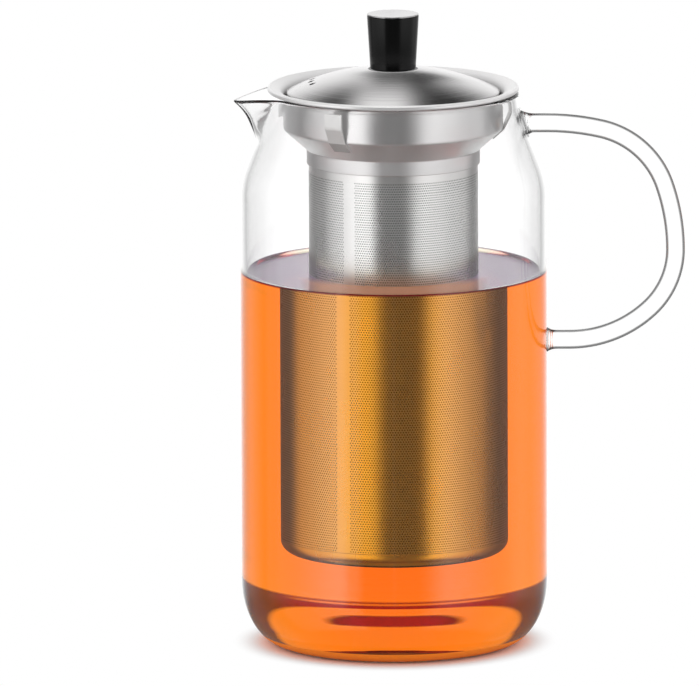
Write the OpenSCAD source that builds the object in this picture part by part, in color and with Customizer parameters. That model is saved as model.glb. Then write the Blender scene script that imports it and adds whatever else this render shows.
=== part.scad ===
// Glass tea jug with a lift-out steel infuser and a lift-off steel lid.
// Millimetres. The origin is on the jug's axis where it stands on the table,
// +Z is up, +X points to the handle and -X to the spout.

/* [Jug] */
// Outer diameter of the straight body
jug_d = 105; // [96:0.5:114]
// Height of the glass rim above the table
jug_h = 191; // [182:1:215]
// Thickness of the blown wall
glass_t = 2.2; // [1.6:0.1:3]
// Thickness of the base
base_t = 4; // [3:0.5:8]
// How far the wall draws in towards the base
base_corner_w = 13.5; // [8:0.5:18]
// Height over which the wall draws in
base_corner_h = 22; // [12:0.5:28]
// Outer diameter of the mouth
mouth_d = 86; // [84:0.5:92]
// Radius of the bend from the body into the shoulder
shoulder_r = 30; // [12:1:45]
// Radius of the bend from the shoulder up to the rim
neck_sweep_r = 20; // [8:1:30]
// Lean of the shoulder from upright, in degrees
neck_slope = 20; // [14:1:30]
// Straight height just below the rim
rim_h = 2; // [1:0.5:5]
// Radius of the melted edge of the rim
rim_edge_r = 0.8; // [0.3:0.1:1]

/* [Spout] */
// How far the tip stands out from the mouth
spout_reach = 12; // [7:0.5:16]
// How far the tip lies below the rim
spout_drop = 3; // [1:0.5:6]
// Half of the angle of rim that the spout takes up, in degrees
spout_half_angle = 30; // [20:1:36]
// Lean of the underside from upright, in degrees
spout_keel_angle = 35; // [28:1:45]
// Half width of the underside where it runs into the neck
spout_keel_w = 4; // [2:0.5:8]
// Radius of the rounded tip
spout_tip_r = 1.3; // [0.8:0.1:2.5]

/* [Handle] */
// Diameter of the glass rod
rod_d = 6.5; // [5:0.5:9]
// From the rim down to the axis of the upper arm
handle_drop = 11.2; // [8:0.2:16]
// Straight length of the shorter arm between its pad and its bend
handle_run = 4.1; // [1:0.1:15]
// Radius of the gentle bend along the top
top_bend_r = 82; // [50:1:110]
// Turn of the bend along the top, in degrees
top_bend_turn = 13; // [5:1:20]
// Radius of the upper corner
crown_r = 30; // [22:0.5:40]
// Turn of the upper corner, in degrees
crown_turn = 58; // [45:1:65]
// Radius of the grip
grip_r = 69; // [45:1:110]
// Radius of the lower corner
heel_r = 28; // [20:0.5:40]
// Turn of the lower corner, in degrees
heel_turn = 47; // [30:1:65]
// Radius of the bend along the bottom
tail_r = 40; // [25:1:60]
// Diameter of the melted pad where the rod meets the jug
weld_d = 10.4; // [8:0.2:13]
// Length over which the pad narrows to the rod
weld_l = 3.5; // [2:0.5:6]

/* [Collar] */
// Thickness of the pressed sheet
collar_t = 0.6; // [0.4:0.05:1]
// How far the flange stands out over the glass rim
flange_overhang = 0; // [0:0.1:2]
// Height of the flange's crest above the glass rim
flange_rise = 2.3; // [1.6:0.1:4]
// How far the flange slopes down from its crest to the band
flange_drop = 1.8; // [0.6:0.1:3]
// Gap between the upright band and the glass, where the tabs spring
band_gap = 3.3; // [2.8:0.1:5]
// Height of the upright band
band_h = 12.7; // [10:0.1:15]
// Height of the cone below the band
cone_h = 7.2; // [6:0.2:14]
// Height of the sleeve that holds the basket
sleeve_h = 5.4; // [3:0.2:12]
// Radius of the soft bend from the flange into the band, at the middle of the sheet
flange_bend_r = 4; // [1.6:0.2:5]
// Radius of the other bends in the sheet, at its middle
bend_r = 1.6; // [1:0.1:2.5]

/* [Basket] */
// Outer diameter of the rolled perforated sheet
basket_d = 58; // [50:0.5:62]
// Thickness of the perforated sheet
mesh_t = 0.4; // [0.2:0.05:0.8]
// Height of the perforated sheet
mesh_h = 135.2; // [110:0.2:140]
// Thickness of the foot ring's sheet
foot_t = 0.4; // [0.3:0.05:0.8]
// Height of the foot ring
foot_h = 5; // [4.8:0.2:10]
// Radius of the foot ring's turned-in corner, at the middle of the sheet
foot_bend_r = 4.4; // [2:0.2:4.6]
// Width of the flat lip that the floor lies on
foot_lip = 3.5; // [2:0.5:8]
// Thickness of the perforated floor
floor_t = 0.4; // [0.2:0.05:0.8]

/* [Spring tabs] */
// Width of a tab
tab_w = 6.4; // [4:0.2:10]
// Thickness of the spring strip
tab_t = 0.5; // [0.3:0.05:0.7]
// Length of the foot that is welded to the cone
tab_foot_l = 5; // [3:0.2:7]
// Height over which the tab leans outwards
tab_lean_h = 5.6; // [4.6:0.1:6.4]
// Height of the upright end that presses on the glass
tab_tip_h = 5; // [3.6:0.1:6]
// Radius of the soft bend between the leaning and the upright part
tab_bend_r = 4; // [1:0.2:5]
// Place of the first tab around the axis, in degrees from +X
tab_turn = -120; // [-180:1:180]

/* [Lid] */
// Thickness of the domed sheet
lid_t = 0.6; // [0.4:0.05:1]
// Rise of the dome from its edge to the knob's seat
lid_rise = 7.9; // [5:0.1:12]
// Diameter of the flat seat under the knob
lid_seat_d = 17; // [16:0.2:24]
// Height of the turned-down edge
lid_edge_h = 1.2; // [0.8:0.1:3]
// How far the edge lies below the inner end of the flange
lid_sink = 0.6; // [0:0.1:2]
// Thickness of the locating ring under the dome
skirt_t = 0.5; // [0.4:0.05:1]
// Diameter of a steam vent
vent_d = 2.2; // [1:0.1:3]
// Distance of the steam vents from the axis
vent_reach = 28; // [16:0.5:31]
// Distance between neighbouring vents
vent_pitch = 5; // [3.2:0.1:8]
// How many vents there are
vent_count = 3; // [1:1:5]

/* [Knob] */
// Height of the knob with its cap
knob_h = 19; // [17:0.5:30]
// Diameter of the knob where it meets the lid
knob_base_d = 15.6; // [13:0.2:16]
// Diameter of the knob at its top
knob_top_d = 17.8; // [15:0.2:24]
// Bevel at the knob's foot
knob_bevel = 0.4; // [0.2:0.1:1]
// Thickness of the cap
cap_t = 0.3; // [0.2:0.1:1.5]
// How far the cap stays inside the knob's edge
cap_inset = 0.1; // [0.1:0.1:2]
// Diameter of the spigot under the cap
spigot_d = 5; // [3:0.5:7]
// Length of the spigot under the cap
spigot_l = 3; // [2:0.5:4]
// Outer diameter of the brass insert
insert_d = 7; // [6.5:0.1:9]
// Length of the brass insert
insert_l = 11; // [8:0.5:12]
// Diameter of the screw
screw_d = 4; // [3:0.5:5]
// How far the screw reaches into the insert
screw_grip = 9; // [5:0.5:11]
// Diameter of the screw's head
screw_head_d = 7.6; // [7:0.1:9]
// Height of the screw's head
screw_head_h = 2.4; // [1.6:0.1:3]
// Width of the slot in the head
slot_w = 1; // [0.6:0.1:1.5]
// Depth of the slot in the head
slot_depth = 1.1; // [0.6:0.1:1.4]
// Outer diameter of the washer
washer_d = 10; // [9:0.2:14]
// Thickness of the washer
washer_t = 0.8; // [0.5:0.1:1.5]

/* [Fits] */
// Gap where one lift-out piece rests on another
rest_gap = 0.3; // [0.2:0.05:0.6]
// Gap between pieces that are welded or pressed together
slip_gap = 0.05; // [0.02:0.01:0.1]
// Gap between a spring tab and the glass
tab_gap = 0.3; // [0.2:0.05:0.6]
// Gap between the lid's edge and the collar's band
lid_gap = 0.5; // [0.3:0.05:1]

/* [Hidden] */
$fn = 96;

// How far a cutting shape runs past what it cuts
past = 1;
// Points on each rounded corner of a profile
corner_points = 6;
// Points on the oval from the base up to the wall
oval_points = 6;
// Facets of the rounded spout
spout_facets = 32;

// Jug
jug_r = jug_d / 2;
base_r = jug_r - base_corner_w;
mouth_r = mouth_d / 2;
neck_corner_z = jug_h - rim_h - neck_sweep_r * tan(neck_slope / 2);
shoulder_corner_z = neck_corner_z - (jug_r - mouth_r) / tan(neck_slope);
inner_corner_shift = glass_t * tan(neck_slope / 2);
mouth_inner_r = mouth_r - glass_t;

// Spout: a keeled wedge from a plate inside the mouth to the tip
spout_tip_x = -(mouth_r + spout_reach - spout_tip_r);
spout_tip_z = jug_h - spout_drop - spout_tip_r;
spout_root_x = -mouth_r * cos(spout_half_angle);
spout_plate_x = -(mouth_inner_r - glass_t);
spout_plate_t = 0.5;
spout_side = mouth_r * sin(spout_half_angle) / (spout_root_x - spout_tip_x);
spout_plate_w = spout_side * (spout_plate_x - spout_tip_x);
spout_plate_low = spout_tip_z - (spout_plate_x - spout_tip_x) / tan(spout_keel_angle);
spout_wall_shift = glass_t / sin(atan(spout_side));
spout_open_h = 12;

// Handle: two level arms joined by bends that add up to half a turn
handle_z = jug_h - handle_drop;
quarter = 90;
handle_bends = [
    [top_bend_r, top_bend_turn],
    [crown_r, crown_turn],
    [grip_r, quarter - top_bend_turn - crown_turn],
    [heel_r, heel_turn],
    [tail_r, quarter - heel_turn]
];
handle_span = bend_start(handle_bends, len(handle_bends));
upper_root_x = mouth_r + max(0, neck_corner_z - handle_z) * tan(neck_slope);
handle_x = max(upper_root_x, jug_r - handle_span[0]) + weld_l + handle_run;
rod_sides = 24;
rod_turn_step = 6;
weld_rings = 5;

// Collar, as the middle of its sheet
flange_r = mouth_r + flange_overhang;
crest_z = jug_h + flange_rise;
band_r = mouth_inner_r - band_gap;
band_top_z = crest_z - flange_drop;
band_low_z = band_top_z - band_h;
cone_low_z = band_low_z - cone_h;
sleeve_low_z = cone_low_z - sleeve_h;
basket_r = basket_d / 2;
band_mid_r = band_r - collar_t / 2;
sleeve_mid_r = basket_r + slip_gap + collar_t / 2;
cone_rise = cone_h / (band_mid_r - sleeve_mid_r);
cone_stretch = sqrt(1 + cone_rise * cone_rise);

// Basket, hung from the sleeve
mesh_top_z = cone_low_z;
mesh_low_z = mesh_top_z - mesh_h;
foot_top_z = mesh_low_z - slip_gap;
foot_low_z = foot_top_z - foot_h;
foot_mid_r = basket_r - foot_t / 2;
floor_r = foot_mid_r - foot_bend_r;

// Spring tabs, as the middle of a strip that lies along the cone and turns up outside the band
tab_off = collar_t / 2 + slip_gap + tab_t / 2;
cone_down = unit([sleeve_mid_r - band_mid_r, -cone_h]);
tab_root = [band_mid_r - cone_down[1] * tab_off, band_low_z + cone_down[0] * tab_off];
tab_tip_r = sqrt(pow(mouth_inner_r - tab_gap, 2) - pow(tab_w / 2, 2)) - tab_t / 2;
tab_step = 120;

// Lid
lid_r = band_r - collar_t - lid_gap;
lid_z = band_top_z - lid_sink;
lid_seat_r = lid_seat_d / 2;
dome_drop = (lid_r * lid_r - lid_seat_r * lid_seat_r - lid_rise * lid_rise) / (2 * lid_rise);
dome_r = norm([lid_r, dome_drop]);
lid_seat_t = 2 * lid_t;
skirt_r = lid_r - lid_t - slip_gap;
cone_inner_z = band_low_z - (band_mid_r - skirt_r) * cone_rise + collar_t / 2 * cone_stretch;
skirt_low_z = cone_inner_z + rest_gap * cone_stretch;
vent_step = 2 * asin(vent_pitch / 2 / vent_reach);

// Knob, stacked on the lid's seat
seat_z = lid_z + lid_rise;
under_seat_z = seat_z - lid_seat_t;
head_z = under_seat_z - washer_t;
body_h = knob_h - cap_t;
screw_hole_d = screw_d + 4 * slip_gap;

glass_colour = [0.86, 0.93, 0.95, 0.35];
steel_colour = [0.75, 0.75, 0.76];
mesh_colour = [0.66, 0.66, 0.67];
black_colour = [0.07, 0.07, 0.07];
brass_colour = [0.78, 0.62, 0.3];

// Outlines

function unit(v) = v / norm(v);

function shortest_turn(a) = a - 360 * round(a / 360);

// Arc of radius r in the corner b between a and c
function corner_arc(a, b, c, r) =
    let (
        u = unit(a - b),
        w = unit(c - b),
        half = acos(u * w) / 2,
        centre = b + unit(u + w) * r / sin(half),
        from = b + u * r / tan(half) - centre,
        to = b + w * r / tan(half) - centre,
        start = atan2(from[1], from[0]),
        sweep = shortest_turn(atan2(to[1], to[0]) - start)
    )
    [for (i = [0 : corner_points]) centre + r * [
        cos(start + sweep * i / corner_points),
        sin(start + sweep * i / corner_points)
    ]];

function flat(p) = [p[0], p[1]];

// A path whose points carry a corner radius as their third number
function rounded(path) = [
    for (i = [0 : len(path) - 1])
        each (i == 0 || i == len(path) - 1 || len(path[i]) < 3)
            ? [flat(path[i])]
            : corner_arc(flat(path[i - 1]), flat(path[i]), flat(path[i + 1]), path[i][2])
];

// Quarter of an oval from its lowest point out to its steepest one
function oval(low, side) = [
    for (i = [0 : oval_points])
        let (a = quarter * i / oval_points)
        [low[0] + (side[0] - low[0]) * sin(a), side[1] + (low[1] - side[1]) * cos(a)]
];

function left_of(a, b) = let (d = unit(b - a)) [-d[1], d[0]];

// The same path moved sideways by d
function beside(path, d) = [
    for (i = [0 : len(path) - 1])
        let (
            before = left_of(path[max(i - 1, 0)], path[max(i - 1, 0) + 1]),
            after = left_of(path[min(i, len(path) - 2)], path[min(i, len(path) - 2) + 1]),
            mitre = unit(before + after)
        )
        path[i] + mitre * d / (mitre * after)
];

function backwards(path) = [for (i = [len(path) - 1 : -1 : 0]) path[i]];

// Section of a bent sheet of thickness t along a path
module sheet(path, t) {
    polygon(concat(beside(path, t / 2), backwards(beside(path, -t / 2))));
}

module ring(outer_r, inner_r, low, high) {
    translate([0, 0, low]) difference() {
        cylinder(r = outer_r, h = high - low);
        translate([0, 0, -past]) cylinder(r = inner_r, h = high - low + 2 * past);
    }
}

// Jug

module jug_outside() {
    rotate_extrude() polygon(rounded([
        [0, 0],
        each oval([base_r, 0], [jug_r, base_corner_h]),
        [jug_r, shoulder_corner_z, shoulder_r],
        [mouth_r, neck_corner_z, neck_sweep_r],
        [mouth_r, jug_h, rim_edge_r],
        [0, jug_h]
    ]));
}

module jug_inside() {
    rotate_extrude() polygon(rounded([
        [0, base_t],
        each oval([base_r, base_t], [jug_r - glass_t, base_corner_h]),
        [jug_r - glass_t, shoulder_corner_z - inner_corner_shift, shoulder_r - glass_t],
        [mouth_inner_r, neck_corner_z - inner_corner_shift, neck_sweep_r + glass_t],
        [mouth_inner_r, jug_h + past],
        [0, jug_h + past]
    ]));
}

// Wedge of the spout, moved in by shift for its channel and raised so that it opens upwards
module spout_wedge(shift, open_h) {
    hull() for (lift = [0, open_h]) translate([shift, 0, lift]) {
        translate([spout_tip_x, 0, spout_tip_z]) sphere(r = spout_tip_r, $fn = spout_facets);
        translate([spout_plate_x, 0, 0]) rotate([90, 0, 90]) linear_extrude(spout_plate_t) polygon([
            [-spout_plate_w, jug_h],
            [spout_plate_w, jug_h],
            [spout_keel_w, spout_plate_low],
            [-spout_keel_w, spout_plate_low]
        ]);
    }
}

module jug_body() {
    color(glass_colour) difference() {
        union() {
            jug_outside();
            spout_wedge(0, 0);
        }
        jug_inside();
        spout_wedge(spout_wall_shift, spout_open_h);
    }
}

// Handle, as rings along its axis: each is [[x, z], heading turned down from level, radius]

// Heading before bend i
function heading(bends, i) = i == 0 ? 0 : heading(bends, i - 1) + bends[i - 1][1];

// Way from the start of the first bend to the start of bend i
function bend_start(bends, i) = i == 0
    ? [0, 0]
    : bend_start(bends, i - 1) + along_arc(bends[i - 1][0], heading(bends, i - 1), heading(bends, i));

// Way along an arc of radius r from one heading to another
function along_arc(r, from, to) = r * [sin(to) - sin(from), cos(to) - cos(from)];

function bend_rings(i) =
    let (
        r = handle_bends[i][0],
        from = heading(handle_bends, i),
        turn = handle_bends[i][1],
        steps = ceil(turn / rod_turn_step),
        start = [handle_x, handle_z] + bend_start(handle_bends, i)
    )
    [for (k = [1 : steps])
        let (to = from + turn * k / steps)
        [start + along_arc(r, from, to), to, rod_d / 2]];

// Rings of a melted pad, from inside the wall at root_x out to the plain rod
function pad_rings(root_x, z, to) = [
    for (k = [0 : weld_rings])
        let (f = k / weld_rings, inside_x = root_x - glass_t / 2)
        [[inside_x + (root_x + weld_l - inside_x) * f, z], to, (rod_d + (weld_d - rod_d) * pow(1 - f, 2)) / 2]
];

function ring_points(ring) = [
    for (k = [0 : rod_sides - 1])
        let (a = 360 * k / rod_sides, out = ring[2] * cos(a))
        [ring[0][0] + out * sin(ring[1]), ring[2] * sin(a), ring[0][1] + out * cos(ring[1])]
];

// Closed tube through a list of rings
module tube(rings) {
    last = len(rings) - 1;
    polyhedron(
        points = [for (ring = rings) each ring_points(ring)],
        faces = concat(
            [[for (k = [0 : rod_sides - 1]) k]],
            [for (i = [0 : last - 1], k = [0 : rod_sides - 1])
                let (next = (k + 1) % rod_sides, a = i * rod_sides, b = a + rod_sides)
                [a + k, b + k, b + next, a + next]],
            [[for (k = [rod_sides - 1 : -1 : 0]) last * rod_sides + k]]
        )
    );
}

module jug_handle() {
    end = [handle_x, handle_z] + handle_span;
    color(glass_colour) difference() {
        tube(concat(
            pad_rings(upper_root_x, handle_z, 0),
            [[[handle_x, handle_z], 0, rod_d / 2]],
            [for (i = [0 : len(handle_bends) - 1]) each bend_rings(i)],
            backwards(pad_rings(jug_r, end[1], 2 * quarter))
        ));
        jug_outside();
    }
}

// Infuser

module infuser_collar() {
    color(steel_colour) rotate_extrude() sheet(rounded([
        [flange_r - collar_t / 2, jug_h + rest_gap],
        [flange_r - collar_t / 2, crest_z - collar_t / 2, collar_t],
        [band_mid_r, band_top_z - collar_t / 2, flange_bend_r],
        [band_mid_r, band_low_z, bend_r],
        [sleeve_mid_r, cone_low_z, bend_r],
        [sleeve_mid_r, sleeve_low_z]
    ]), collar_t);
}

module basket_wall() {
    color(mesh_colour) ring(basket_r, basket_r - mesh_t, mesh_low_z, mesh_top_z);
}

module basket_foot_ring() {
    color(steel_colour) rotate_extrude() sheet(rounded([
        [foot_mid_r, foot_top_z],
        [foot_mid_r, foot_low_z + foot_t / 2, foot_bend_r],
        [floor_r - foot_lip, foot_low_z + foot_t / 2]
    ]), foot_t);
}

module basket_floor() {
    color(mesh_colour) translate([0, 0, foot_low_z + foot_t]) cylinder(r = floor_r, h = floor_t);
}

module spring_tab(i) {
    strip = rounded([
        tab_root + tab_foot_l * cone_down,
        [each tab_root, tab_t],
        [tab_tip_r, tab_root[1] + tab_lean_h, tab_bend_r],
        [tab_tip_r, tab_root[1] + tab_lean_h + tab_tip_h]
    ]);
    color(steel_colour) rotate([0, 0, tab_turn + tab_step * i])
        translate([0, tab_w / 2, 0]) rotate([quarter, 0, 0]) linear_extrude(tab_w) sheet(strip, tab_t);
}

// Lid

module lid_dome() {
    color(steel_colour) difference() {
        union() {
            intersection() {
                translate([0, 0, lid_z - dome_drop]) difference() {
                    sphere(r = dome_r);
                    sphere(r = dome_r - lid_t);
                }
                translate([0, 0, lid_z]) cylinder(r = lid_r, h = lid_rise);
            }
            translate([0, 0, under_seat_z]) cylinder(r = lid_seat_r, h = lid_seat_t);
            ring(lid_r, lid_r - lid_t, lid_z - lid_edge_h, lid_z);
        }
        translate([0, 0, under_seat_z - past]) cylinder(d = screw_hole_d, h = lid_seat_t + 2 * past);
        for (i = [0 : vent_count - 1])
            rotate([0, 0, 180 + vent_step * (i - (vent_count - 1) / 2)])
            translate([vent_reach, 0, lid_z - past]) cylinder(d = vent_d, h = lid_rise + 2 * past);
    }
}

module lid_skirt() {
    color(steel_colour) ring(skirt_r, skirt_r - skirt_t, skirt_low_z, lid_z);
}

// Knob

module lid_knob() {
    color(black_colour) translate([0, 0, seat_z]) difference() {
        rotate_extrude() polygon([
            [0, 0],
            [knob_base_d / 2 - knob_bevel, 0],
            [knob_base_d / 2, knob_bevel],
            [knob_top_d / 2, body_h],
            [0, body_h]
        ]);
        translate([0, 0, -past]) cylinder(d = insert_d + 2 * slip_gap, h = insert_l + slip_gap + past);
        translate([0, 0, body_h - spigot_l - slip_gap])
            cylinder(d = spigot_d + 2 * slip_gap, h = spigot_l + past);
    }
}

module knob_cap() {
    color(steel_colour) translate([0, 0, seat_z + body_h]) {
        cylinder(d = knob_top_d - 2 * cap_inset, h = cap_t);
        translate([0, 0, -spigot_l]) cylinder(d = spigot_d, h = spigot_l);
    }
}

module knob_insert() {
    color(brass_colour) ring(insert_d / 2, screw_d / 2 + slip_gap, seat_z, seat_z + insert_l);
}

module knob_washer() {
    color(steel_colour) ring(washer_d / 2, screw_hole_d / 2, head_z, under_seat_z);
}

module knob_screw() {
    color(steel_colour) difference() {
        union() {
            translate([0, 0, head_z - screw_head_h]) cylinder(d = screw_head_d, h = screw_head_h);
            translate([0, 0, head_z]) cylinder(d = screw_d, h = seat_z + screw_grip - head_z);
        }
        translate([-screw_head_d / 2, -slot_w / 2, head_z - screw_head_h - past])
            cube([screw_head_d, slot_w, slot_depth + past]);
    }
}

jug_body();
jug_handle();
infuser_collar();
basket_wall();
basket_foot_ring();
basket_floor();
spring_tab(0);  // spring_tab_1
spring_tab(1);  // spring_tab_2
spring_tab(2);  // spring_tab_3
lid_dome();
lid_skirt();
lid_knob();
knob_cap();
knob_insert();
knob_washer();
knob_screw();
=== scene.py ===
"""Looks of a glass tea jug with a lift-out steel infuser and a lid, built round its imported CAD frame.

Shapes are worked out in millimetres and written in metres. +X points to the handle, -X to the spout.
"""

from __future__ import annotations

import logging
import math
from abc import ABC, abstractmethod
from collections.abc import Callable, Mapping, Sequence
from dataclasses import dataclass, field
from enum import Enum
from typing import Any

import bpy
import numpy as np
from mathutils import Matrix, Vector

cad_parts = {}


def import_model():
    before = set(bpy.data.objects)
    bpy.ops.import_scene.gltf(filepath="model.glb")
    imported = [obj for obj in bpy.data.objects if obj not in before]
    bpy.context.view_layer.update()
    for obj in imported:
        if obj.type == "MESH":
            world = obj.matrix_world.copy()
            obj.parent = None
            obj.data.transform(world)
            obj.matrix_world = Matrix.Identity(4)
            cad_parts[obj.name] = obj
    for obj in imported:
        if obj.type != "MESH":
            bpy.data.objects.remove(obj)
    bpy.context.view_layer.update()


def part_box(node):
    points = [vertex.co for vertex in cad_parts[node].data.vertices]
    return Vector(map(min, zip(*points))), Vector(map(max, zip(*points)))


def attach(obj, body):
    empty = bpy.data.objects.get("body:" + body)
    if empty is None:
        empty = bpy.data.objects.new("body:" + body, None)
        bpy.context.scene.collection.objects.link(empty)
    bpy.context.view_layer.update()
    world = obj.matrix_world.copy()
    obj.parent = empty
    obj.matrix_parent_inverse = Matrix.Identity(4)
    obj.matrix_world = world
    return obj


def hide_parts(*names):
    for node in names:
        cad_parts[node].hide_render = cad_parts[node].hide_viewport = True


LOG = logging.getLogger("tea_jug")
MM = 0.001
ROUGHNESS_SPREAD = 0.1

Colour = tuple[float, float, float]
ColourAlpha = tuple[float, float, float, float]
Span = tuple[float, float]
Inputs = Mapping[int | str, Any]
FaceTest = Callable[[bpy.types.MeshPolygon], bool]
Push = Callable[[np.ndarray, np.ndarray, np.ndarray], tuple[np.ndarray, np.ndarray]]
RodSection = tuple[float, float, float, float, float]


class Body(Enum):
    """The CAD bodies that pieces ride on."""

    JUG = "jug"
    INFUSER = "infuser"
    TAB_1 = "spring_tab_1"
    TAB_2 = "spring_tab_2"
    TAB_3 = "spring_tab_3"
    LID = "lid"


class Slot(Enum):
    """The record's material slots."""

    GLASS = "glass"
    COLLAR = "collar_steel"
    MESH = "mesh_steel"
    SPRING = "spring_steel"
    LID = "lid_steel"
    KNOB = "knob_black"
    CAP = "cap_steel"
    BRASS = "brass"
    FASTENER = "fastener_steel"


class Value:
    """An output of a node tree that takes part in sums like a number."""

    def __init__(self, graph: Graph, socket: bpy.types.NodeSocket) -> None:
        """Wraps an output socket of a tree."""
        self.graph = graph
        self.socket = socket

    def of(self, output: str) -> Value:
        """Another output of the same node, by name."""
        return Value(self.graph, self.socket.node.outputs[output])

    def math(self, operation: str, *others: Value | float) -> Value:
        """A math node whose first input is this value."""
        inputs = dict(enumerate((self, *others)))
        return self.graph.node("ShaderNodeMath", {"operation": operation}, inputs)

    def ramp(self, low: float, high: float, start: float = 0.0, end: float = 1.0) -> Value:
        """A smooth step that gives start up to low, and end from high on."""
        inputs = {"Value": self, 1: low, 2: high, 3: start, 4: end}
        return self.graph.node("ShaderNodeMapRange", {"interpolation_type": "SMOOTHSTEP"}, inputs)

    def __add__(self, other: Value | float) -> Value:
        """This value plus another."""
        return self.math("ADD", other)

    def __sub__(self, other: Value | float) -> Value:
        """This value less another."""
        return self.math("SUBTRACT", other)

    def __mul__(self, other: Value | float) -> Value:
        """This value times another."""
        return self.math("MULTIPLY", other)

    def __truediv__(self, other: Value | float) -> Value:
        """This value divided by another."""
        return self.math("DIVIDE", other)

    def __pow__(self, other: Value | float) -> Value:
        """This value to the power of another."""
        return self.math("POWER", other)

    def __mod__(self, other: Value | float) -> Value:
        """What is left of this value after whole steps of another."""
        return self.math("FLOORED_MODULO", other)

    def __neg__(self) -> Value:
        """This value with its sign turned."""
        return self.math("MULTIPLY", -1.0)

    def __abs__(self) -> Value:
        """This value without its sign."""
        return self.math("ABSOLUTE")

    def __rsub__(self, other: float) -> Value:
        """A number less this value."""
        return -self + other

    __radd__ = __add__
    __rmul__ = __mul__


class Graph:
    """A node tree, written as a formula."""

    def __init__(self, tree: bpy.types.NodeTree) -> None:
        """Empties a tree to write in."""
        self.tree = tree
        tree.nodes.clear()

    def add(self, kind: str, settings: Mapping[str, Any] | None, inputs: Inputs | None) -> bpy.types.Node:
        """Adds a node and links its inputs.

        Args:
            kind: the node's type.
            settings: properties of the node.
            inputs: values, or plain numbers and data, by input name or place.

        Returns:
            The node.
        """
        made = self.tree.nodes.new(kind)
        for name, setting in (settings or {}).items():
            setattr(made, name, setting)
        for key, given in (inputs or {}).items():
            if isinstance(given, Value):
                self.tree.links.new(given.socket, made.inputs[key])
            else:
                made.inputs[key].default_value = given
        return made

    def node(self, kind: str, settings: Mapping[str, Any] | None = None, inputs: Inputs | None = None,
             output: int | str = 0) -> Value:
        """Adds a node as add does, and hands back one of its outputs."""
        return Value(self, self.add(kind, settings, inputs).outputs[output])

    def end(self, kind: str, inputs: Inputs) -> None:
        """Adds the node that ends the tree."""
        self.add(kind, None, inputs)

    def mix(self, factor: Value | float, first: Any, second: Any) -> Value:
        """A blend of two colours with alpha: factor 0 gives the first, 1 the second."""
        inputs = {0: factor, 6: first, 7: second}
        return self.node("ShaderNodeMix", {"data_type": "RGBA"}, inputs, 2)

    def place(self) -> Value:
        """The point being shaded, in the piece's own frame, in metres."""
        return self.node("ShaderNodeTexCoord", output="Object")

    def split(self, vector: Value) -> Value:
        """A vector's X; its Y and Z are reached with of()."""
        return self.node("ShaderNodeSeparateXYZ", None, {0: vector}, "X")

    def facing(self) -> Value:
        """How the surface is turned: 0 where it is seen straight on, 1 where edge on."""
        return self.node("ShaderNodeLayerWeight", None, {"Blend": 0.5}, "Facing")

    def noise(self, place: Value, scale: float, detail: float = 1.0) -> Value:
        """Soft clouds from 0 to 1, with their number to a metre as scale."""
        return self.node("ShaderNodeTexNoise", None, {"Vector": place, "Scale": scale, "Detail": detail})


def opaque(colour: Colour) -> ColourAlpha:
    """A colour with full alpha.

    Args:
        colour: red, green and blue, linear.

    Returns:
        The colour with alpha 1.
    """
    return (*colour, 1.0)


def grey(level: float) -> ColourAlpha:
    """A neutral colour.

    Args:
        level: its linear level.

    Returns:
        The colour with alpha 1.
    """
    return opaque((level, level, level))


def scaled(colour: Colour, factor: float) -> ColourAlpha:
    """A darker or paler shade of a colour.

    Args:
        colour: red, green and blue, linear.
        factor: what each is multiplied by.

    Returns:
        The shade with alpha 1.
    """
    return opaque(tuple(channel * factor for channel in colour))


def reach(x: Value) -> Value:
    """How far a point is from the axis.

    Args:
        x: the X of a node that splits the point.

    Returns:
        The distance, in metres.
    """
    y = x.of("Y")
    return (x * x + y * y) ** 0.5


def uneven(cloud: Value, middle: float) -> Value:
    """A roughness that varies a little.

    Args:
        cloud: a level from 0 to 1.
        middle: the roughness that it varies round.

    Returns:
        The roughness.
    """
    return cloud * ROUGHNESS_SPREAD + (middle - ROUGHNESS_SPREAD / 2)


@dataclass(frozen=True)
class Finish(ABC):
    """A surface finish; each is built once and shared.

    A field that holds a turn says how far the surface is turned away, from 0, straight on, to 1, edge on.
    """

    name: str

    def material(self) -> bpy.types.Material:
        """The finish as a material.

        Returns:
            The material, made on first use.
        """
        known = bpy.data.materials.get(self.name)
        if known:
            return known
        made = bpy.data.materials.new(self.name)
        made.use_nodes = True
        self.write(Graph(made.node_tree))
        return made

    @abstractmethod
    def write(self, graph: Graph) -> None:
        """Fills the material's empty tree."""

    @staticmethod
    def close(graph: Graph, inputs: Inputs, volume: Value | None = None) -> None:
        """Ends a tree with a Principled shader.

        Args:
            graph: the tree.
            inputs: the shader's inputs.
            volume: what fills the inside, if anything.
        """
        surface = graph.node("ShaderNodeBsdfPrincipled", None, inputs)
        ends = {"Surface": surface} if volume is None else {"Surface": surface, "Volume": volume}
        graph.end("ShaderNodeOutputMaterial", ends)


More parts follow.
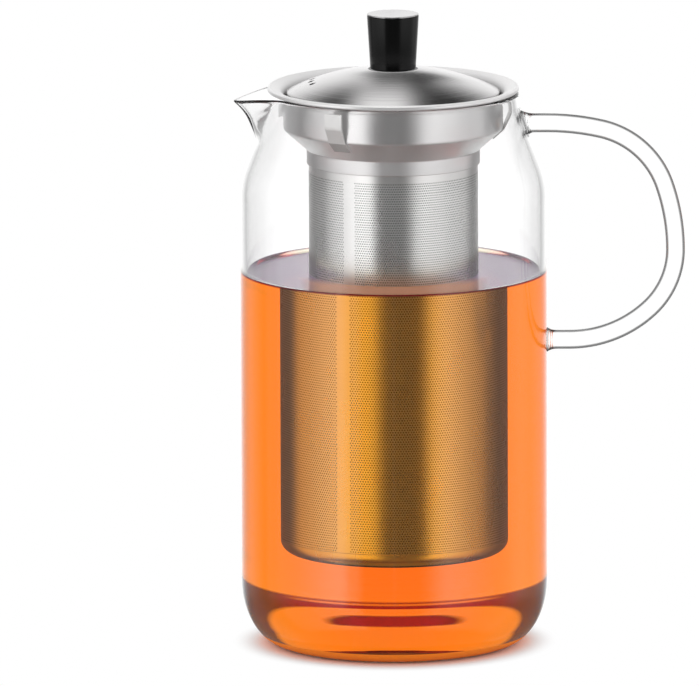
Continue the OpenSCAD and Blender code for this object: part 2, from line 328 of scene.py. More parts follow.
@dataclass(frozen=True)
class ClearGlass(Finish):
    """Clear glass whose outline darkens with painted shade where it is seen edge on, and whose front mirrors the
    soft boxes.
    """

    ior: float = 1.47
    edge_level: float = 1.0
    edge_turn: Span = (0.5, 1.0)
    wave: float = 0.012
    wave_depth: float = 2.0
    wave_scale: float = 45.0
    coat: float = 0.0
    coat_side: float = 0.15
    coat_turn: Span = (0.05, 0.28)
    coat_front: Span = (-10.0, 10.0)
    coat_ior: float = 1.8
    coat_roughness: float = 0.02
    sparkle: float = 1.0
    roughness: float = 0.0

    def write(self, graph: Graph) -> None:
        """Writes clear glass with a faint ripple, and a coat on its front.

        Args:
            graph: the empty tree.
        """
        place = graph.place()
        x = graph.split(place)
        facing = graph.facing()
        front = (x.of("Y") / MM).ramp(*self.coat_front, 1.0, 0.0)
        ripple = graph.noise(place, self.wave_scale)
        self.close(graph, {
            "Base Color": self.tone(graph, facing, x.of("Z") / MM),
            "Roughness": self.roughness,
            "IOR": self.ior,
            "Transmission Weight": 1.0,
            "Specular Tint": grey(self.sparkle),
            "Normal": graph.node("ShaderNodeBump", None, {
                "Strength": self.wave, "Distance": self.wave_depth * MM, "Height": ripple,
            }),
            "Coat Weight": facing.ramp(*self.coat_turn, self.coat, self.coat * self.coat_side) * front,
            "Coat IOR": self.coat_ior,
            "Coat Roughness": self.coat_roughness,
        })

    def tone(self, graph: Graph, facing: Value, height: Value) -> Value:
        """What the surface lets through: painted shade where it is turned edge on. Its height, in millimetres,
        is not read here.
        """
        return graph.mix(facing.ramp(*self.edge_turn), grey(1.0), grey(self.edge_level))


@dataclass(frozen=True)
class JugGlass(ClearGlass):
    """The jug's outside, with heights in millimetres.

    Painted shade darkens its dry outline, and its heel, where the thick glass would turn the light away;
    its wet outline takes a painted tea-coloured shade. The lens is the painted dark oval that shows low
    in the front.
    """

    dry: Span = (125.0, 133.0)
    neck: Span = (165.0, 180.0)
    wet_turn: Span = (0.74, 0.92)
    painted_wet_edge: Colour = (0.85, 0.65, 0.15)
    heel_top: Span = (22.7, 23.7)
    heel_middle: float = 8.0
    heel_half: float = 12.8
    heel_arch: float = 0.6
    heel_fall: float = 0.03
    heel_blur: Span = (-0.06, 0.02)
    streak: float = 22.2
    streak_half: Span = (0.15, 0.5)
    streak_turn: Span = (0.1, 0.35)
    streak_part: float = 0.6
    side_turn: Span = (0.15, 0.5)
    painted_heel_side: Colour = (0.05, 0.04, 0.8)
    painted_heel_front: Colour = (0.12, 0.0025, 0.06)
    lens: float = 16.4
    lens_half: float = 2.3
    lens_turn: float = 0.178
    lens_lean: float = 0.05
    lens_bow: float = 0.045
    lens_blur: Span = (-0.04, 0.015)
    lens_ends: Span = (0.74, 1.0)
    lens_rim: Span = (-0.1, 0.0)
    painted_lens_shade: Colour = (0.03, 0.008, 0.05)

    def tone(self, graph: Graph, facing: Value, height: Value) -> Value:
        """What the surface lets through, with painted shade on its outline, heel and lens.

        Args:
            graph: the tree.
            facing: 0 where it is seen straight on, 1 where edge on.
            height: above the table, in millimetres.

        Returns:
            The colour.
        """
        dry = height.ramp(*self.dry)
        edge = facing.ramp(*self.edge_turn) * dry * height.ramp(*self.neck, 1.0, 0.0)
        clear = graph.mix(edge, grey(1.0), grey(self.edge_level))
        clear = graph.mix(facing.ramp(*self.wet_turn) * (1.0 - dry), clear, opaque(self.painted_wet_edge))
        entering = 1.0 - graph.node("ShaderNodeNewGeometry", output="Backfacing")
        front = opaque(self.painted_heel_front)
        tint = graph.mix(facing.ramp(*self.side_turn), front, opaque(self.painted_heel_side))
        clear = graph.mix(self.heel(facing, height) * entering, clear, tint)
        level = (height - self.lens) / self.lens_half
        spread = facing - (self.lens_turn - level * self.lens_lean - level * level * self.lens_bow)
        lens = spread.ramp(*self.lens_blur, 1.0, 0.0) * abs(level).ramp(*self.lens_ends, 1.0, 0.0)
        tint = graph.mix(spread.ramp(*self.lens_rim), front, opaque(self.painted_lens_shade))
        return graph.mix(lens * entering, clear, tint)

    def heel(self, facing: Value, height: Value) -> Value:
        """The heel's painted shade, an arch that leaves the middle of the front clear, with a painted pale
        streak along its top.

        Args:
            facing: 0 where it is seen straight on, 1 where edge on.
            height: above the table, in millimetres.

        Returns:
            1 where the heel has painted shade.
        """
        up = (height - self.heel_middle) / self.heel_half
        arch = (1.0 - up * up).math("MAXIMUM", 0.0) ** 0.5 * self.heel_arch
        under = (self.heel_middle - height).math("MAXIMUM", 0.0) * self.heel_fall
        ring = (facing - arch - under).ramp(*self.heel_blur) * height.ramp(*self.heel_top, 1.0, 0.0)
        off = abs(height - self.streak)
        streak = off.ramp(*self.streak_half, self.streak_part, 0.0) * facing.ramp(*self.streak_turn, 1.0, 0.0)
        return ring * (1.0 - streak)


@dataclass(frozen=True)
class Tea(Finish):
    """Brewed tea: clear, and orange by what it takes out of the light.

    Painted shade darkens its side above the line, a height in millimetres, where the edge of the surface
    looks dark; a line above the surface shows nowhere.
    """

    kept: Colour = (0.999, 0.82, 0.25)
    density: float = 100.0
    ior: float = 1.333
    sparkle: float = 0.2
    swirl_scale: float = 30.0
    swirl_tint: Colour = (1.0, 0.98, 0.97)
    line: float = 1000.0
    line_blur: float = 0.3
    painted_line_shade: Colour = (0.3, 0.0, 0.01)

    def write(self, graph: Graph) -> None:
        """Writes the clear surface and what fills it."""
        self.close(graph, self.inside(graph), self.volume(graph))

    def inside(self, graph: Graph) -> dict[str, Any]:
        """Inputs of the clear surface.

        Args:
            graph: the tree.

        Returns:
            The Principled shader's inputs.
        """
        place = graph.place()
        height = graph.split(place).of("Z") / MM
        tone = graph.mix(graph.noise(place, self.swirl_scale), opaque(self.swirl_tint), grey(1.0))
        dark = height.ramp(self.line - self.line_blur, self.line + self.line_blur)
        return {
            "Base Color": graph.mix(dark, tone, opaque(self.painted_line_shade)),
            "Roughness": 0.0,
            "IOR": self.ior,
            "Transmission Weight": 1.0,
            "Specular Tint": grey(self.sparkle),
        }

    def volume(self, graph: Graph) -> Value:
        """What the tea takes out of the light."""
        inputs = {"Color": opaque(self.kept), "Density": self.density}
        return graph.node("ShaderNodeVolumeAbsorption", None, inputs)


@dataclass(frozen=True)
class TeaTop(Tea):
    """The tea's surface: seen from the side a pale mirror with a painted lilac sheen, and a painted reflection
    of the basket in front of the basket; clear from above.

    The painted reflection ends beside, behind and under the basket, by spans in millimetres.
    """

    # The sheen colour is a painted reflection of the surroundings on the mirror.
    sheen: Colour = (0.3, 0.14, 0.36)
    sheen_scale: float = 40.0
    sheen_shade: float = 0.85
    roughness: float = 0.04
    painted_basket_reflection: Colour = (0.9, 0.42, 0.25)
    beside: Span = (24.0, 33.0)
    behind: Span = (-28.0, -8.0)
    under: Span = (15.0, 29.0)
    mirror_turn: Span = (0.5, 0.82)
    mirror_part: float = 0.95

    def write(self, graph: Graph) -> None:
        """Writes a blend of the clear surface, the mirror and the painted reflection of the basket.

        Args:
            graph: the empty tree.
        """
        place = graph.place()
        x = graph.split(place)
        beside = (abs(x) / MM).ramp(*self.beside)
        behind = (x.of("Y") / MM).ramp(*self.behind)
        under = (reach(x) / MM).ramp(*self.under, 1.0, 0.0)
        plain = beside.math("MAXIMUM", behind).math("MAXIMUM", under)
        clear = graph.node("ShaderNodeBsdfPrincipled", None, self.inside(graph))
        cloud = graph.noise(place, self.sheen_scale)
        mirror = graph.node("ShaderNodeBsdfPrincipled", None, {
            "Base Color": graph.mix(cloud, opaque(self.sheen), scaled(self.sheen, self.sheen_shade)),
            "Roughness": self.roughness,
            "IOR": self.ior,
        })
        painted_basket_reflection = graph.node("ShaderNodeBsdfDiffuse", None, {"Color": opaque(self.painted_basket_reflection)})
        seen = graph.node("ShaderNodeMixShader", None, {0: plain, 1: painted_basket_reflection, 2: mirror})
        part = graph.facing().ramp(*self.mirror_turn, 0.0, self.mirror_part)
        surface = graph.node("ShaderNodeMixShader", None, {0: part, 1: clear, 2: seen})
        graph.end("ShaderNodeOutputMaterial", {"Surface": surface, "Volume": self.volume(graph)})


@dataclass(frozen=True)
class SpunSteel(Finish):
    """Stainless steel with fine grooves that run round the axis.

    Painted light and shade change its colour: the rim's factor lightens (above 1) or darkens (below 1)
    where it is turned away, and the hollow's factor paints shade near the axis; grooves and reaches are in
    millimetres.
    """

    colour: Colour = (0.72, 0.71, 0.70)
    roughness: float = 0.22
    groove: float = 0.35
    groove_part: float = 0.6
    tilt: float = 0.1
    shade: float = 0.12
    cloud_scale: float = 60.0
    metallic: float = 1.0
    rim: float = 1.0
    rim_turn: Span = (0.45, 0.65)
    hollow: float = 1.0
    hollow_reach: Span = (36.2, 38.8)

    def write(self, graph: Graph) -> None:
        """Writes steel that is shaded by its grooves and by soft clouds.

        Args:
            graph: the empty tree.
        """
        place = graph.place()
        x = graph.split(place)
        along = (reach(x) + x.of("Z")) / (self.groove * MM)
        lines = graph.node("ShaderNodeTexNoise", {"noise_dimensions": "1D"},
                           {"W": along, "Scale": 1.0, "Detail": 3.0, "Roughness": 0.7})
        cloud = graph.noise(place, self.cloud_scale, 2.0)
        mixed = lines * self.groove_part + cloud * (1.0 - self.groove_part)
        tone = graph.mix(mixed, scaled(self.colour, 1.0 - self.shade), opaque(self.colour))
        # Painted highlight (rim above 1) or painted shade (rim below 1) where the surface turns away.
        if self.rim != 1.0:
            tone = graph.mix(graph.facing().ramp(*self.rim_turn), tone, scaled(self.colour, self.rim))
        # Painted shade near the axis.
        if self.hollow != 1.0:
            away = (reach(x) / MM).ramp(*self.hollow_reach)
            tone = graph.mix(away, scaled(self.colour, self.hollow), tone)
        self.close(graph, {
            "Base Color": tone,
            "Metallic": self.metallic,
            "Roughness": uneven(cloud, self.roughness),
            "Normal": self.tipped(graph, x, lines),
        })

    def tipped(self, graph: Graph, x: Value, lines: Value) -> Value:
        """The normal, tipped across the grooves.

        Args:
            graph: the tree.
            x: the X of a node that splits the point.
            lines: the grooves' level, from 0 to 1.

        Returns:
            The normal.
        """
        round_axis = graph.node("ShaderNodeCombineXYZ", None, {"X": -x.of("Y"), "Y": x})
        normal = graph.node("ShaderNodeNewGeometry", output="Normal")
        across = self.vector(graph, "NORMALIZE", self.vector(graph, "CROSS_PRODUCT", round_axis, normal))
        tip = (lines - 0.5) * self.tilt
        lean = graph.node("ShaderNodeVectorMath", {"operation": "SCALE"}, {0: across, "Scale": tip})
        return self.vector(graph, "NORMALIZE", self.vector(graph, "ADD", normal, lean))

    @staticmethod
    def vector(graph: Graph, operation: str, *inputs: Value) -> Value:
        """A vector math node."""
        return graph.node("ShaderNodeVectorMath", {"operation": operation}, dict(enumerate(inputs)))


@dataclass(frozen=True)
class Moulded(Finish):
    """A plain opaque finish with a little unevenness: moulded plastic, brass, painted shade and the foot's
    painted reflection.
    """

    colour: Colour = (0.003, 0.003, 0.003)
    mottle: float = 1.25
    metallic: float = 0.0
    roughness: float = 0.3
    gloss: float = 0.5
    grain: float = 900.0

    def write(self, graph: Graph) -> None:
        """Writes an opaque surface, mottled by fine clouds.

        Args:
            graph: the empty tree.
        """
        cloud = graph.noise(graph.place(), self.grain, 2.0)
        self.close(graph, {
            "Base Color": graph.mix(cloud, opaque(self.colour), scaled(self.colour, self.mottle)),
            "Metallic": self.metallic,
            "Roughness": uneven(cloud, self.roughness),
            "Specular IOR Level": self.gloss,
        })


@dataclass(frozen=True)
class Paper(Finish):
    """The white floor: it takes the shadow near the jug and is plain white farther out, in millimetres."""

    level: float = 0.96
    shadow: Span = (44.0, 56.0)

    def write(self, graph: Graph) -> None:
        """Writes white paper that turns into plain light farther out.

        Args:
            graph: the empty tree.
        """
        far = (reach(graph.split(graph.place())) / MM).ramp(*self.shadow)
        self.close(graph, {
            "Base Color": graph.mix(far, grey(self.level), grey(0.0)),
            "Roughness": 1.0,
            "Specular IOR Level": 0.0,
            "Emission Color": graph.mix(far, grey(0.0), grey(1.0)),
            "Emission Strength": 1.0,
        })


# The jug's glass takes painted shade on its outline, heel and lens.
BODY_GLASS = JugGlass("body_glass", edge_level=0.6, edge_turn=(0.6, 0.95), coat=0.4, sparkle=0.4)
INNER_GLASS = ClearGlass("inner_glass")
RIM_GLASS = ClearGlass("rim_glass", roughness=0.3)
# An opaque orange painted reflection on the glass foot's underside, standing in for the warm shaded table it
# mirrors.
PAINTED_FOOT_REFLECTION = Moulded("amber_foot", colour=(0.75, 0.19, 0.015), roughness=0.6, gloss=0.1)
# The rod's and the pads' edge levels paint shade on their outlines.
ROD_GLASS = ClearGlass("rod_glass", edge_level=0.04, edge_turn=(0.2, 0.42), wave=0.0)
PAD_GLASS = ClearGlass("pad_glass", ior=1.15, edge_level=0.12, edge_turn=(0.2, 0.6), wave=0.0)
# The line lies just under the meniscus top, so the meniscus takes the painted shade.
TEA = Tea("brewed_tea", line=128.8)
# The tea surface takes a painted lilac sheen and a painted reflection of the basket.
TEA_TOP = TeaTop("tea_surface")
COLLAR_STEEL = SpunSteel("collar_sheet", colour=(0.88, 0.87, 0.87), roughness=0.3, tilt=0.4, groove=0.25)
# The flange, edge, cone and sleeve finishes are lit and shaded copies of the collar steel. They paint shade near
# the flange's inside, paint a shaded outer edge, paint highlights at the cone's sides and paint shade at the
# sleeve's sides.
FLANGE_STEEL = SpunSteel("flange_sheet", colour=(0.95, 0.94, 0.94), roughness=0.4, groove=0.2,
                         metallic=0.25, hollow=0.3)
EDGE_STEEL = SpunSteel("edge_sheet", colour=(0.88, 0.87, 0.87), roughness=0.3, metallic=0.7)
CONE_STEEL = SpunSteel("cone_sheet", colour=(0.77, 0.79, 0.79), roughness=0.35, metallic=0.45, rim=1.25)
SLEEVE_STEEL = SpunSteel("sleeve_sheet", colour=(0.95, 0.94, 0.94), roughness=0.35, metallic=0.85, rim=0.55)
LID_STEEL = SpunSteel("lid_sheet", colour=(0.62, 0.61, 0.61), roughness=0.2, groove=0.45, tilt=0.14)
# A darker copy of the lid steel: painted shade under the knob.
SEAT_STEEL = SpunSteel("seat_sheet", colour=(0.3, 0.3, 0.3), roughness=0.45, metallic=0.3)
CAP_STEEL = SpunSteel("cap_disc", colour=(0.53, 0.52, 0.52), roughness=0.2, groove=0.12, tilt=0.2)
# The mesh's rim factor paints shade where the rolled sheet turns away.
MESH_STEEL = SpunSteel("mesh_sheet", colour=(0.95, 0.94, 0.93), roughness=0.28, groove=0.8, tilt=0.06,
                       rim=0.5)
SPRING_STEEL = SpunSteel("spring_strip", colour=(0.9, 0.89, 0.88), roughness=0.4, tilt=0.04, metallic=0.8)
SHADED_STEEL = SpunSteel("shaded_strip", colour=(0.5, 0.49, 0.48), roughness=0.45, tilt=0.04, metallic=0.3)
FASTENER_STEEL = SpunSteel("fastener_metal", colour=(0.6, 0.59, 0.57), roughness=0.3, groove=0.1)
# Painted shade: it closes the basket's holes and darkens the underside of the foot ring's lip.
PAINTED_SHADE = Moulded("dark_hole", colour=(0.06, 0.058, 0.055), roughness=0.9, gloss=0.05)
KNOB_BLACK = Moulded("black_moulding", colour=(0.0004, 0.0004, 0.0004), roughness=0.2, gloss=0.26)
BRASS = Moulded("turned_brass", colour=(0.62, 0.4, 0.13), metallic=1.0, roughness=0.28)
WHITE_FLOOR = Paper("white_floor")


def fillet(path: Sequence[Sequence[float]], steps: int = 8) -> np.ndarray:
    """Rounds the corners of a path.

    Args:
        path: points, each with its corner's radius as a third number where it is rounded.
        steps: segments of each rounded corner.

    Returns:
        The rounded path, one point to a row.
    """
    points = []
    for i, (x, y, *radius) in enumerate(path):
        here = np.array((x, y), float)
        if not radius:
            points.append(here)
            continue
        back = np.array(path[i - 1][:2]) - here
        ahead = np.array(path[i + 1][:2]) - here
        back /= np.linalg.norm(back)
        ahead /= np.linalg.norm(ahead)
        half = math.acos(float(np.clip(back @ ahead, -1.0, 1.0))) / 2
        middle = (back + ahead) / np.linalg.norm(back + ahead)
        centre = here + middle * radius[0] / math.sin(half)
        first = here + back * radius[0] / math.tan(half) - centre
        last = here + ahead * radius[0] / math.tan(half) - centre
        start = math.atan2(first[1], first[0])
        sweep = math.remainder(math.atan2(last[1], last[0]) - start, math.tau)
        for turn in np.linspace(start, start + sweep, steps + 1):
            points.append(centre + radius[0] * np.array((math.cos(turn), math.sin(turn))))
    return np.array(points)


def subdivide(path: np.ndarray, longest: float) -> np.ndarray:
    """Splits the long steps of a path.

    Args:
        path: points, one to a row.
        longest: the longest step that stays whole.

    Returns:
        The path with the added points.
    """
    points = [path[:1]]
    for a, b in zip(path, path[1:]):
        parts = max(1, math.ceil(np.linalg.norm(b - a) / longest))
        points.append(a + (b - a) * np.linspace(0, 1, parts + 1)[1:, None])
    return np.vstack(points)


def sheet_outline(path: np.ndarray, thickness: float, end_steps: int = 6) -> np.ndarray:
    """The section of a bent sheet with rounded edges.

    Args:
        path: the middle of the sheet, from edge to edge.
        thickness: of the sheet.
        end_steps: segments of each rounded edge.

    Returns:
        The closed outline.
    """
    half = thickness / 2
    path = path.copy()
    for end, inner in ((0, 1), (-1, -2)):
        step = path[inner] - path[end]
        path[end] += step / np.linalg.norm(step) * half
    step = np.diff(path, axis=0)
    step /= np.linalg.norm(step, axis=1)[:, None]
    left = np.column_stack((-step[:, 1], step[:, 0]))
    before = np.vstack((left[:1], left))
    after = np.vstack((left, left[-1:]))
    mitre = before + after
    mitre /= np.sum(mitre * after, axis=1)[:, None]
    turns = np.linspace(0, math.pi, end_steps + 1)[1:-1, None]
    last = path[-1] + half * (np.cos(turns) * left[-1] + np.sin(turns) * step[-1])
    first = path[0] - half * (np.cos(turns) * left[0] + np.sin(turns) * step[0])
    return np.vstack((path + mitre * half, last, (path - mitre * half)[::-1], first))


def counter_clockwise(outline: np.ndarray) -> np.ndarray:
    """Turns a closed outline so that its inside lies to the left.

    Args:
        outline: points, one to a row.

    Returns:
        The outline in that order.
    """
    x, y = outline[:, 0], outline[:, 1]
    area = np.sum(x * np.roll(y, -1) - y * np.roll(x, -1))
    return outline if area > 0 else outline[::-1]


@dataclass
class Shape:
    """Points and faces of a piece, in millimetres."""

    points: np.ndarray
    faces: list[tuple[int, ...]]

    @classmethod
    def turned(cls, outline: np.ndarray, sides: int | np.ndarray = 128, closed: bool = True,
               push: Push | None = None) -> Shape:
        """A shape turned round the axis.

        Args:
            outline: radius and height of each point, with the solid to the left.
            sides: how many sides it has, or the angle of each.
            closed: whether the last point joins the first; otherwise both ends lie on the axis.
            push: moves points, given their radius, angle and height.

        Returns:
            The turned shape.
        """
        angles = np.linspace(0, math.tau, sides, endpoint=False) if isinstance(sides, int) else sides
        count = len(angles)
        rings = outline if closed else outline[1:-1]
        radius, turn = np.meshgrid(rings[:, 0], angles, indexing="ij")
        height = np.repeat(rings[:, 1:2], count, axis=1)
        if push:
            radius, height = push(radius, turn, height)
        points = np.stack((radius * np.cos(turn), radius * np.sin(turn), height), axis=-1).reshape(-1, 3)
        index = np.arange(len(points)).reshape(len(rings), count)
        nxt = np.roll(index, -1, axis=1)
        low, high = (index, np.roll(index, -1, axis=0)) if closed else (index[:-1], index[1:])
        low_next, high_next = (nxt, np.roll(nxt, -1, axis=0)) if closed else (nxt[:-1], nxt[1:])
        quads = np.stack((low, low_next, high_next, high), axis=-1).reshape(-1, 4)
        faces = [tuple(q) for q in quads.tolist()]
        if not closed:
            ends = [[0.0, 0.0, outline[0, 1]], [0.0, 0.0, outline[-1, 1]]]
            bottom, top = len(points), len(points) + 1
            points = np.vstack((points, ends))
            faces += [(bottom, b, a) for a, b in zip(index[0].tolist(), nxt[0].tolist())]
            faces += [(top, a, b) for a, b in zip(index[-1].tolist(), nxt[-1].tolist())]
        return cls(points, faces)

    @classmethod
    def tube(cls, rings: Sequence[np.ndarray]) -> Shape:
        """A closed tube through rings of points.

        Args:
            rings: points of each ring, in the same order round the way.

        Returns:
            The tube.
        """
        count = len(rings[0])
        faces: list[tuple[int, ...]] = [tuple(range(count))[::-1]]
        for i in range(len(rings) - 1):
            a, b = i * count, (i + 1) * count
            faces += [(a + k, a + (k + 1) % count, b + (k + 1) % count, b + k) for k in range(count)]
        faces.append(tuple(range((len(rings) - 1) * count, len(rings) * count)))
        return cls(np.vstack(rings), faces)

    def placed(self, matrix: Matrix) -> Shape:
        """The shape, moved by a matrix in millimetres."""
        turn = np.array(matrix.to_3x3())
        return Shape(self.points @ turn.T + np.array(matrix.translation), self.faces)

    def mesh(self, name: str, sharp: float = 40.0) -> bpy.types.Mesh:
        """The shape as a mesh.

        Args:
            name: the mesh's name.
            sharp: angle from which an edge is shaded sharp, in degrees.

        Returns:
            The mesh, in metres.
        """
        made = bpy.data.meshes.new(name)
        made.from_pydata((self.points * MM).tolist(), [], self.faces)
        made.shade_smooth()
        made.set_sharp_from_angle(angle=math.radians(sharp))
        made.update()
        return made


def show(mesh: bpy.types.Mesh, finish: Finish | None, body: Body, nodes: Sequence[str] = ()) -> bpy.types.Object:
    """Shows a mesh as a piece of the object.

    Args:
        mesh: the piece's mesh, in place.
        finish: its finish, or None where the mesh has its own.
        body: the CAD body it rides on.
        nodes: the CAD nodes it stands for.

    Returns:
        The piece.
    """
    if finish:
        mesh.materials.clear()
        mesh.materials.append(finish.material())
    piece = bpy.data.objects.new(mesh.name, mesh)
    bpy.context.scene.collection.objects.link(piece)
    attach(piece, body.value)
    if nodes:
        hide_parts(*nodes)
    LOG.info("made %s on %s", piece.name, body.value)
    return piece


def paint(piece: bpy.types.Object, finish: Finish, chosen: FaceTest) -> None:
    """Gives some faces of a piece another finish.

    Args:
        piece: the piece.
        finish: the other finish.
        chosen: tells whether a face takes it.
    """
    piece.data.materials.append(finish.material())
    for face in piece.data.polygons:
        if chosen(face):
            face.material_index = len(piece.data.materials) - 1


def baked(holder: bpy.types.Object, name: str) -> bpy.types.Mesh:
    """Keeps what an object's modifiers make of it, and deletes the object.

    Args:
        holder: the object, linked to the scene.
        name: the kept mesh's name.

    Returns:
        The plain mesh.
    """
    graph = bpy.context.evaluated_depsgraph_get()
    made = bpy.data.meshes.new_from_object(holder.evaluated_get(graph))
    bpy.data.meshes.remove(holder.data)
    made.name = name
    return made


def box(node: str) -> tuple[Vector, Vector]:
    """The corners of a CAD node, in millimetres.

    Args:
        node: its name.

    Returns:
        Its lowest and highest corner.
    """
    low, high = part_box(node)
    return low / MM, high / MM


@dataclass
class Jug:
    """The blown jug, its handle and the tea in it."""

    wall: float = 2.2
    base: float = 4.0
    corner_w: float = 13.5
    corner_h: float = 22.0
    mouth: float = 43.0
    shoulder: float = 30.0
    sweep: float = 20.0
    slope: float = math.radians(20.0)
    rim: float = 2.0
    lip: float = 1.05
    spout_drop: float = 3.0
    spout_half: float = math.radians(30.0)
    spout_foot: float = 16.8
    spout_blunt: float = 0.04
    spout_tip: float = math.radians(1.6)
    spout_fall: float = 1.85
    spout_waist: float = 0.45
    tea_level: float = 128.3
    meniscus: float = 1.2
    meniscus_reach: float = 1.3
    skin: float = 0.3
    rod: float = 6.5
    pad: float = 10.4
    pad_length: float = 3.5
    pad_flare: float = 2.5
    pad_part: float = 0.25
    stub: float = 4.095
    handle_drop: float = 11.2
    bends: tuple[tuple[float, float], ...] = (
        (82.0, 13.0), (30.0, 58.0), (69.0, 19.0), (28.0, 47.0), (40.0, 43.0),
    )
    rim_normal: float = 0.75
    floor_normal: float = 0.95
    foot_normal: Span = (-0.995, -0.67)
    tea_normal: float = 0.3
    body_r: float = field(init=False)
    height: float = field(init=False)
    reach: float = field(init=False)

    def __post_init__(self) -> None:
        """Takes the main sizes from the frame."""
        low, high = box("jug_body")
        self.body_r, self.height = high.y, high.z
        self.reach = -low.x - self.mouth

    def build(self) -> None:
        """Makes the pieces."""
        turned = Shape.turned(self.outline(), self.angles(), closed=False, push=self.spout)
        body = show(turned.mesh("jug_body_glass", 80.0), BODY_GLASS, Body.JUG, ["jug_body"])
        paint(body, INNER_GLASS, self.is_inside)
        lip_low = self.height - self.spout_drop - self.wall
        steep, slight = self.foot_normal
        paint(body, RIM_GLASS, lambda face: face.normal.z > self.rim_normal and face.center.z > lip_low * MM)
        # The foot's underside takes a painted reflection.
        paint(body, PAINTED_FOOT_REFLECTION,
              lambda face: steep < face.normal.z < slight and face.center.z < self.base * MM)
        handle = self.handle().mesh("jug_handle_glass", 60.0)
        rod = show(handle, ROD_GLASS, Body.JUG, ["jug_handle"])
        paint(rod, PAD_GLASS, self.is_pad)
        filling = Shape.turned(self.tea_outline(), 160, closed=False)
        tea = show(filling.mesh("tea", 60.0), TEA, Body.JUG)
        paint(tea, TEA_TOP, lambda face: face.normal.z > self.tea_normal)

    def is_inside(self, face: bpy.types.MeshPolygon) -> bool:
        """Whether a face of the body faces the axis, or is the floor inside."""
        outward = face.normal.x * face.center.x + face.normal.y * face.center.y
        return outward < 0.0 or face.normal.z > self.floor_normal

    def is_pad(self, face: bpy.types.MeshPolygon) -> bool:
        """Whether a face of the handle belongs to a melted pad.

        Args:
            face: the face.

        Returns:
            Whether it lies where the rod flares out.
        """
        root, z = self.upper_pad()
        wall = root if face.center.z > (z - self.pad) * MM else self.body_r
        return face.center.x < (wall + self.pad_length * self.pad_part) * MM

    def upper_pad(self) -> tuple[float, float]:
        """Where the upper pad's axis meets the wall: distance from the jug's axis, and height."""
        z = self.height - self.handle_drop
        return self.mouth + (self.corners()[1] - z) * math.tan(self.slope), z

    def corners(self) -> tuple[float, float, float]:
        """Heights where the outside turns.

        Returns:
            The shoulder's and the neck's corner, and how far lower they are on the inside.
        """
        neck = self.height - self.rim - self.sweep * math.tan(self.slope / 2)
        shoulder = neck - (self.body_r - self.mouth) / math.tan(self.slope)
        return shoulder, neck, self.wall * math.tan(self.slope / 2)

    def outline(self) -> np.ndarray:
        """The wall's section, from under the base, over the rim, to the floor inside.

        Returns:
            Radius and height of each point.
        """
        shoulder, neck, shift = self.corners()
        inside, throat = self.body_r - self.wall, self.mouth - self.wall
        path = fillet([
            (0, 0),
            *self.heel(0, self.body_r),
            (self.body_r, shoulder, self.shoulder),
            (self.mouth, neck, self.sweep),
            (self.mouth, self.height, self.lip),
            (throat, self.height, self.lip),
            (throat, neck - shift, self.sweep + self.wall),
            (inside, shoulder - shift, self.shoulder - self.wall),
            *self.heel(self.base, inside)[::-1],
            (0, self.base),
        ], steps=12)
        return subdivide(path, longest=2.0)

    def heel(self, low: float, side: float, steps: int = 24) -> list[tuple[float, float]]:
        """The oval corner between base and side.

        Args:
            low: height of the base there.
            side: radius of the side there.
            steps: segments of the corner.

        Returns:
            Radius and height of each point, from the base up.
        """
        flat, rise = self.body_r - self.corner_w, self.corner_h - low
        return [(flat + (side - flat) * math.sin(turn), self.corner_h - rise * math.cos(turn))
                for turn in np.linspace(0, math.pi / 2, steps + 1)]

    @staticmethod
    def angles(count: int = 192, crowding: float = 1.7) -> np.ndarray:
        """Angles round the axis, rising, and closer together at the spout by the crowding."""
        spread = np.linspace(-1, 1, count, endpoint=False)
        return math.pi + np.sign(spread) * np.abs(spread) ** crowding * math.pi

    def spout(self, radius: np.ndarray, turn: np.ndarray,
              height: np.ndarray) -> tuple[np.ndarray, np.ndarray]:
        """Pulls the neck out into the spout.

        Args:
            radius: of each point.
            turn: angle of each point.
            height: of each point.

        Returns:
            The new radius and height.
        """
        blunt = self.spout_blunt
        rise = np.clip((height - self.height + self.spout_foot) / self.spout_foot, 0, 1)
        pull = (np.sqrt(rise**2 + blunt**2) - blunt) / (math.sqrt(1 + blunt**2) - blunt)
        away = np.sqrt((turn - math.pi) ** 2 + self.spout_tip**2) - self.spout_tip
        width = self.spout_half * (self.spout_waist + (1 - self.spout_waist) * rise)
        part = np.clip(1 - away / width, 0, 1) ** self.spout_fall
        return radius + self.reach * pull * part, height - self.spout_drop * part * rise**2

    def handle(self) -> Shape:
        """The bent rod with a melted pad at each end.

        Returns:
            The rod.
        """
        root, z = self.upper_pad()
        half = self.rod / 2
        ends = self.bend_ends()
        x = max(root, self.body_r - ends[-1][0]) + self.pad_length + self.stub
        sections = self.pad_sections(root, z, 0.0, self.slope)
        sections.append((x, z, 0.0, half, 0.0))
        sections += [(x + out, z + up, heading, half, 0.0) for out, up, heading in ends]
        sections += self.pad_sections(self.body_r, z + ends[-1][1], math.pi, 0.0)[::-1]
        return Shape.tube([self.ring(*section) for section in sections])

    def bend_ends(self, step: float = 2.0) -> list[tuple[float, float, float]]:
        """Points along the handle's bends.

        Args:
            step: degrees from point to point.

        Returns:
            Each point's way from the start of the bends, and its heading turned down from level.
        """
        points: list[tuple[float, float, float]] = []
        x, z, heading = 0.0, 0.0, 0.0
        for radius, turn in self.bends:
            for part in np.linspace(0, math.radians(turn), max(3, round(turn / step)) + 1)[1:]:
                to = heading + part
                points.append((x + radius * (math.sin(to) - math.sin(heading)),
                               z + radius * (math.cos(to) - math.cos(heading)), to))
            x, z, heading = points[-1]
        return points

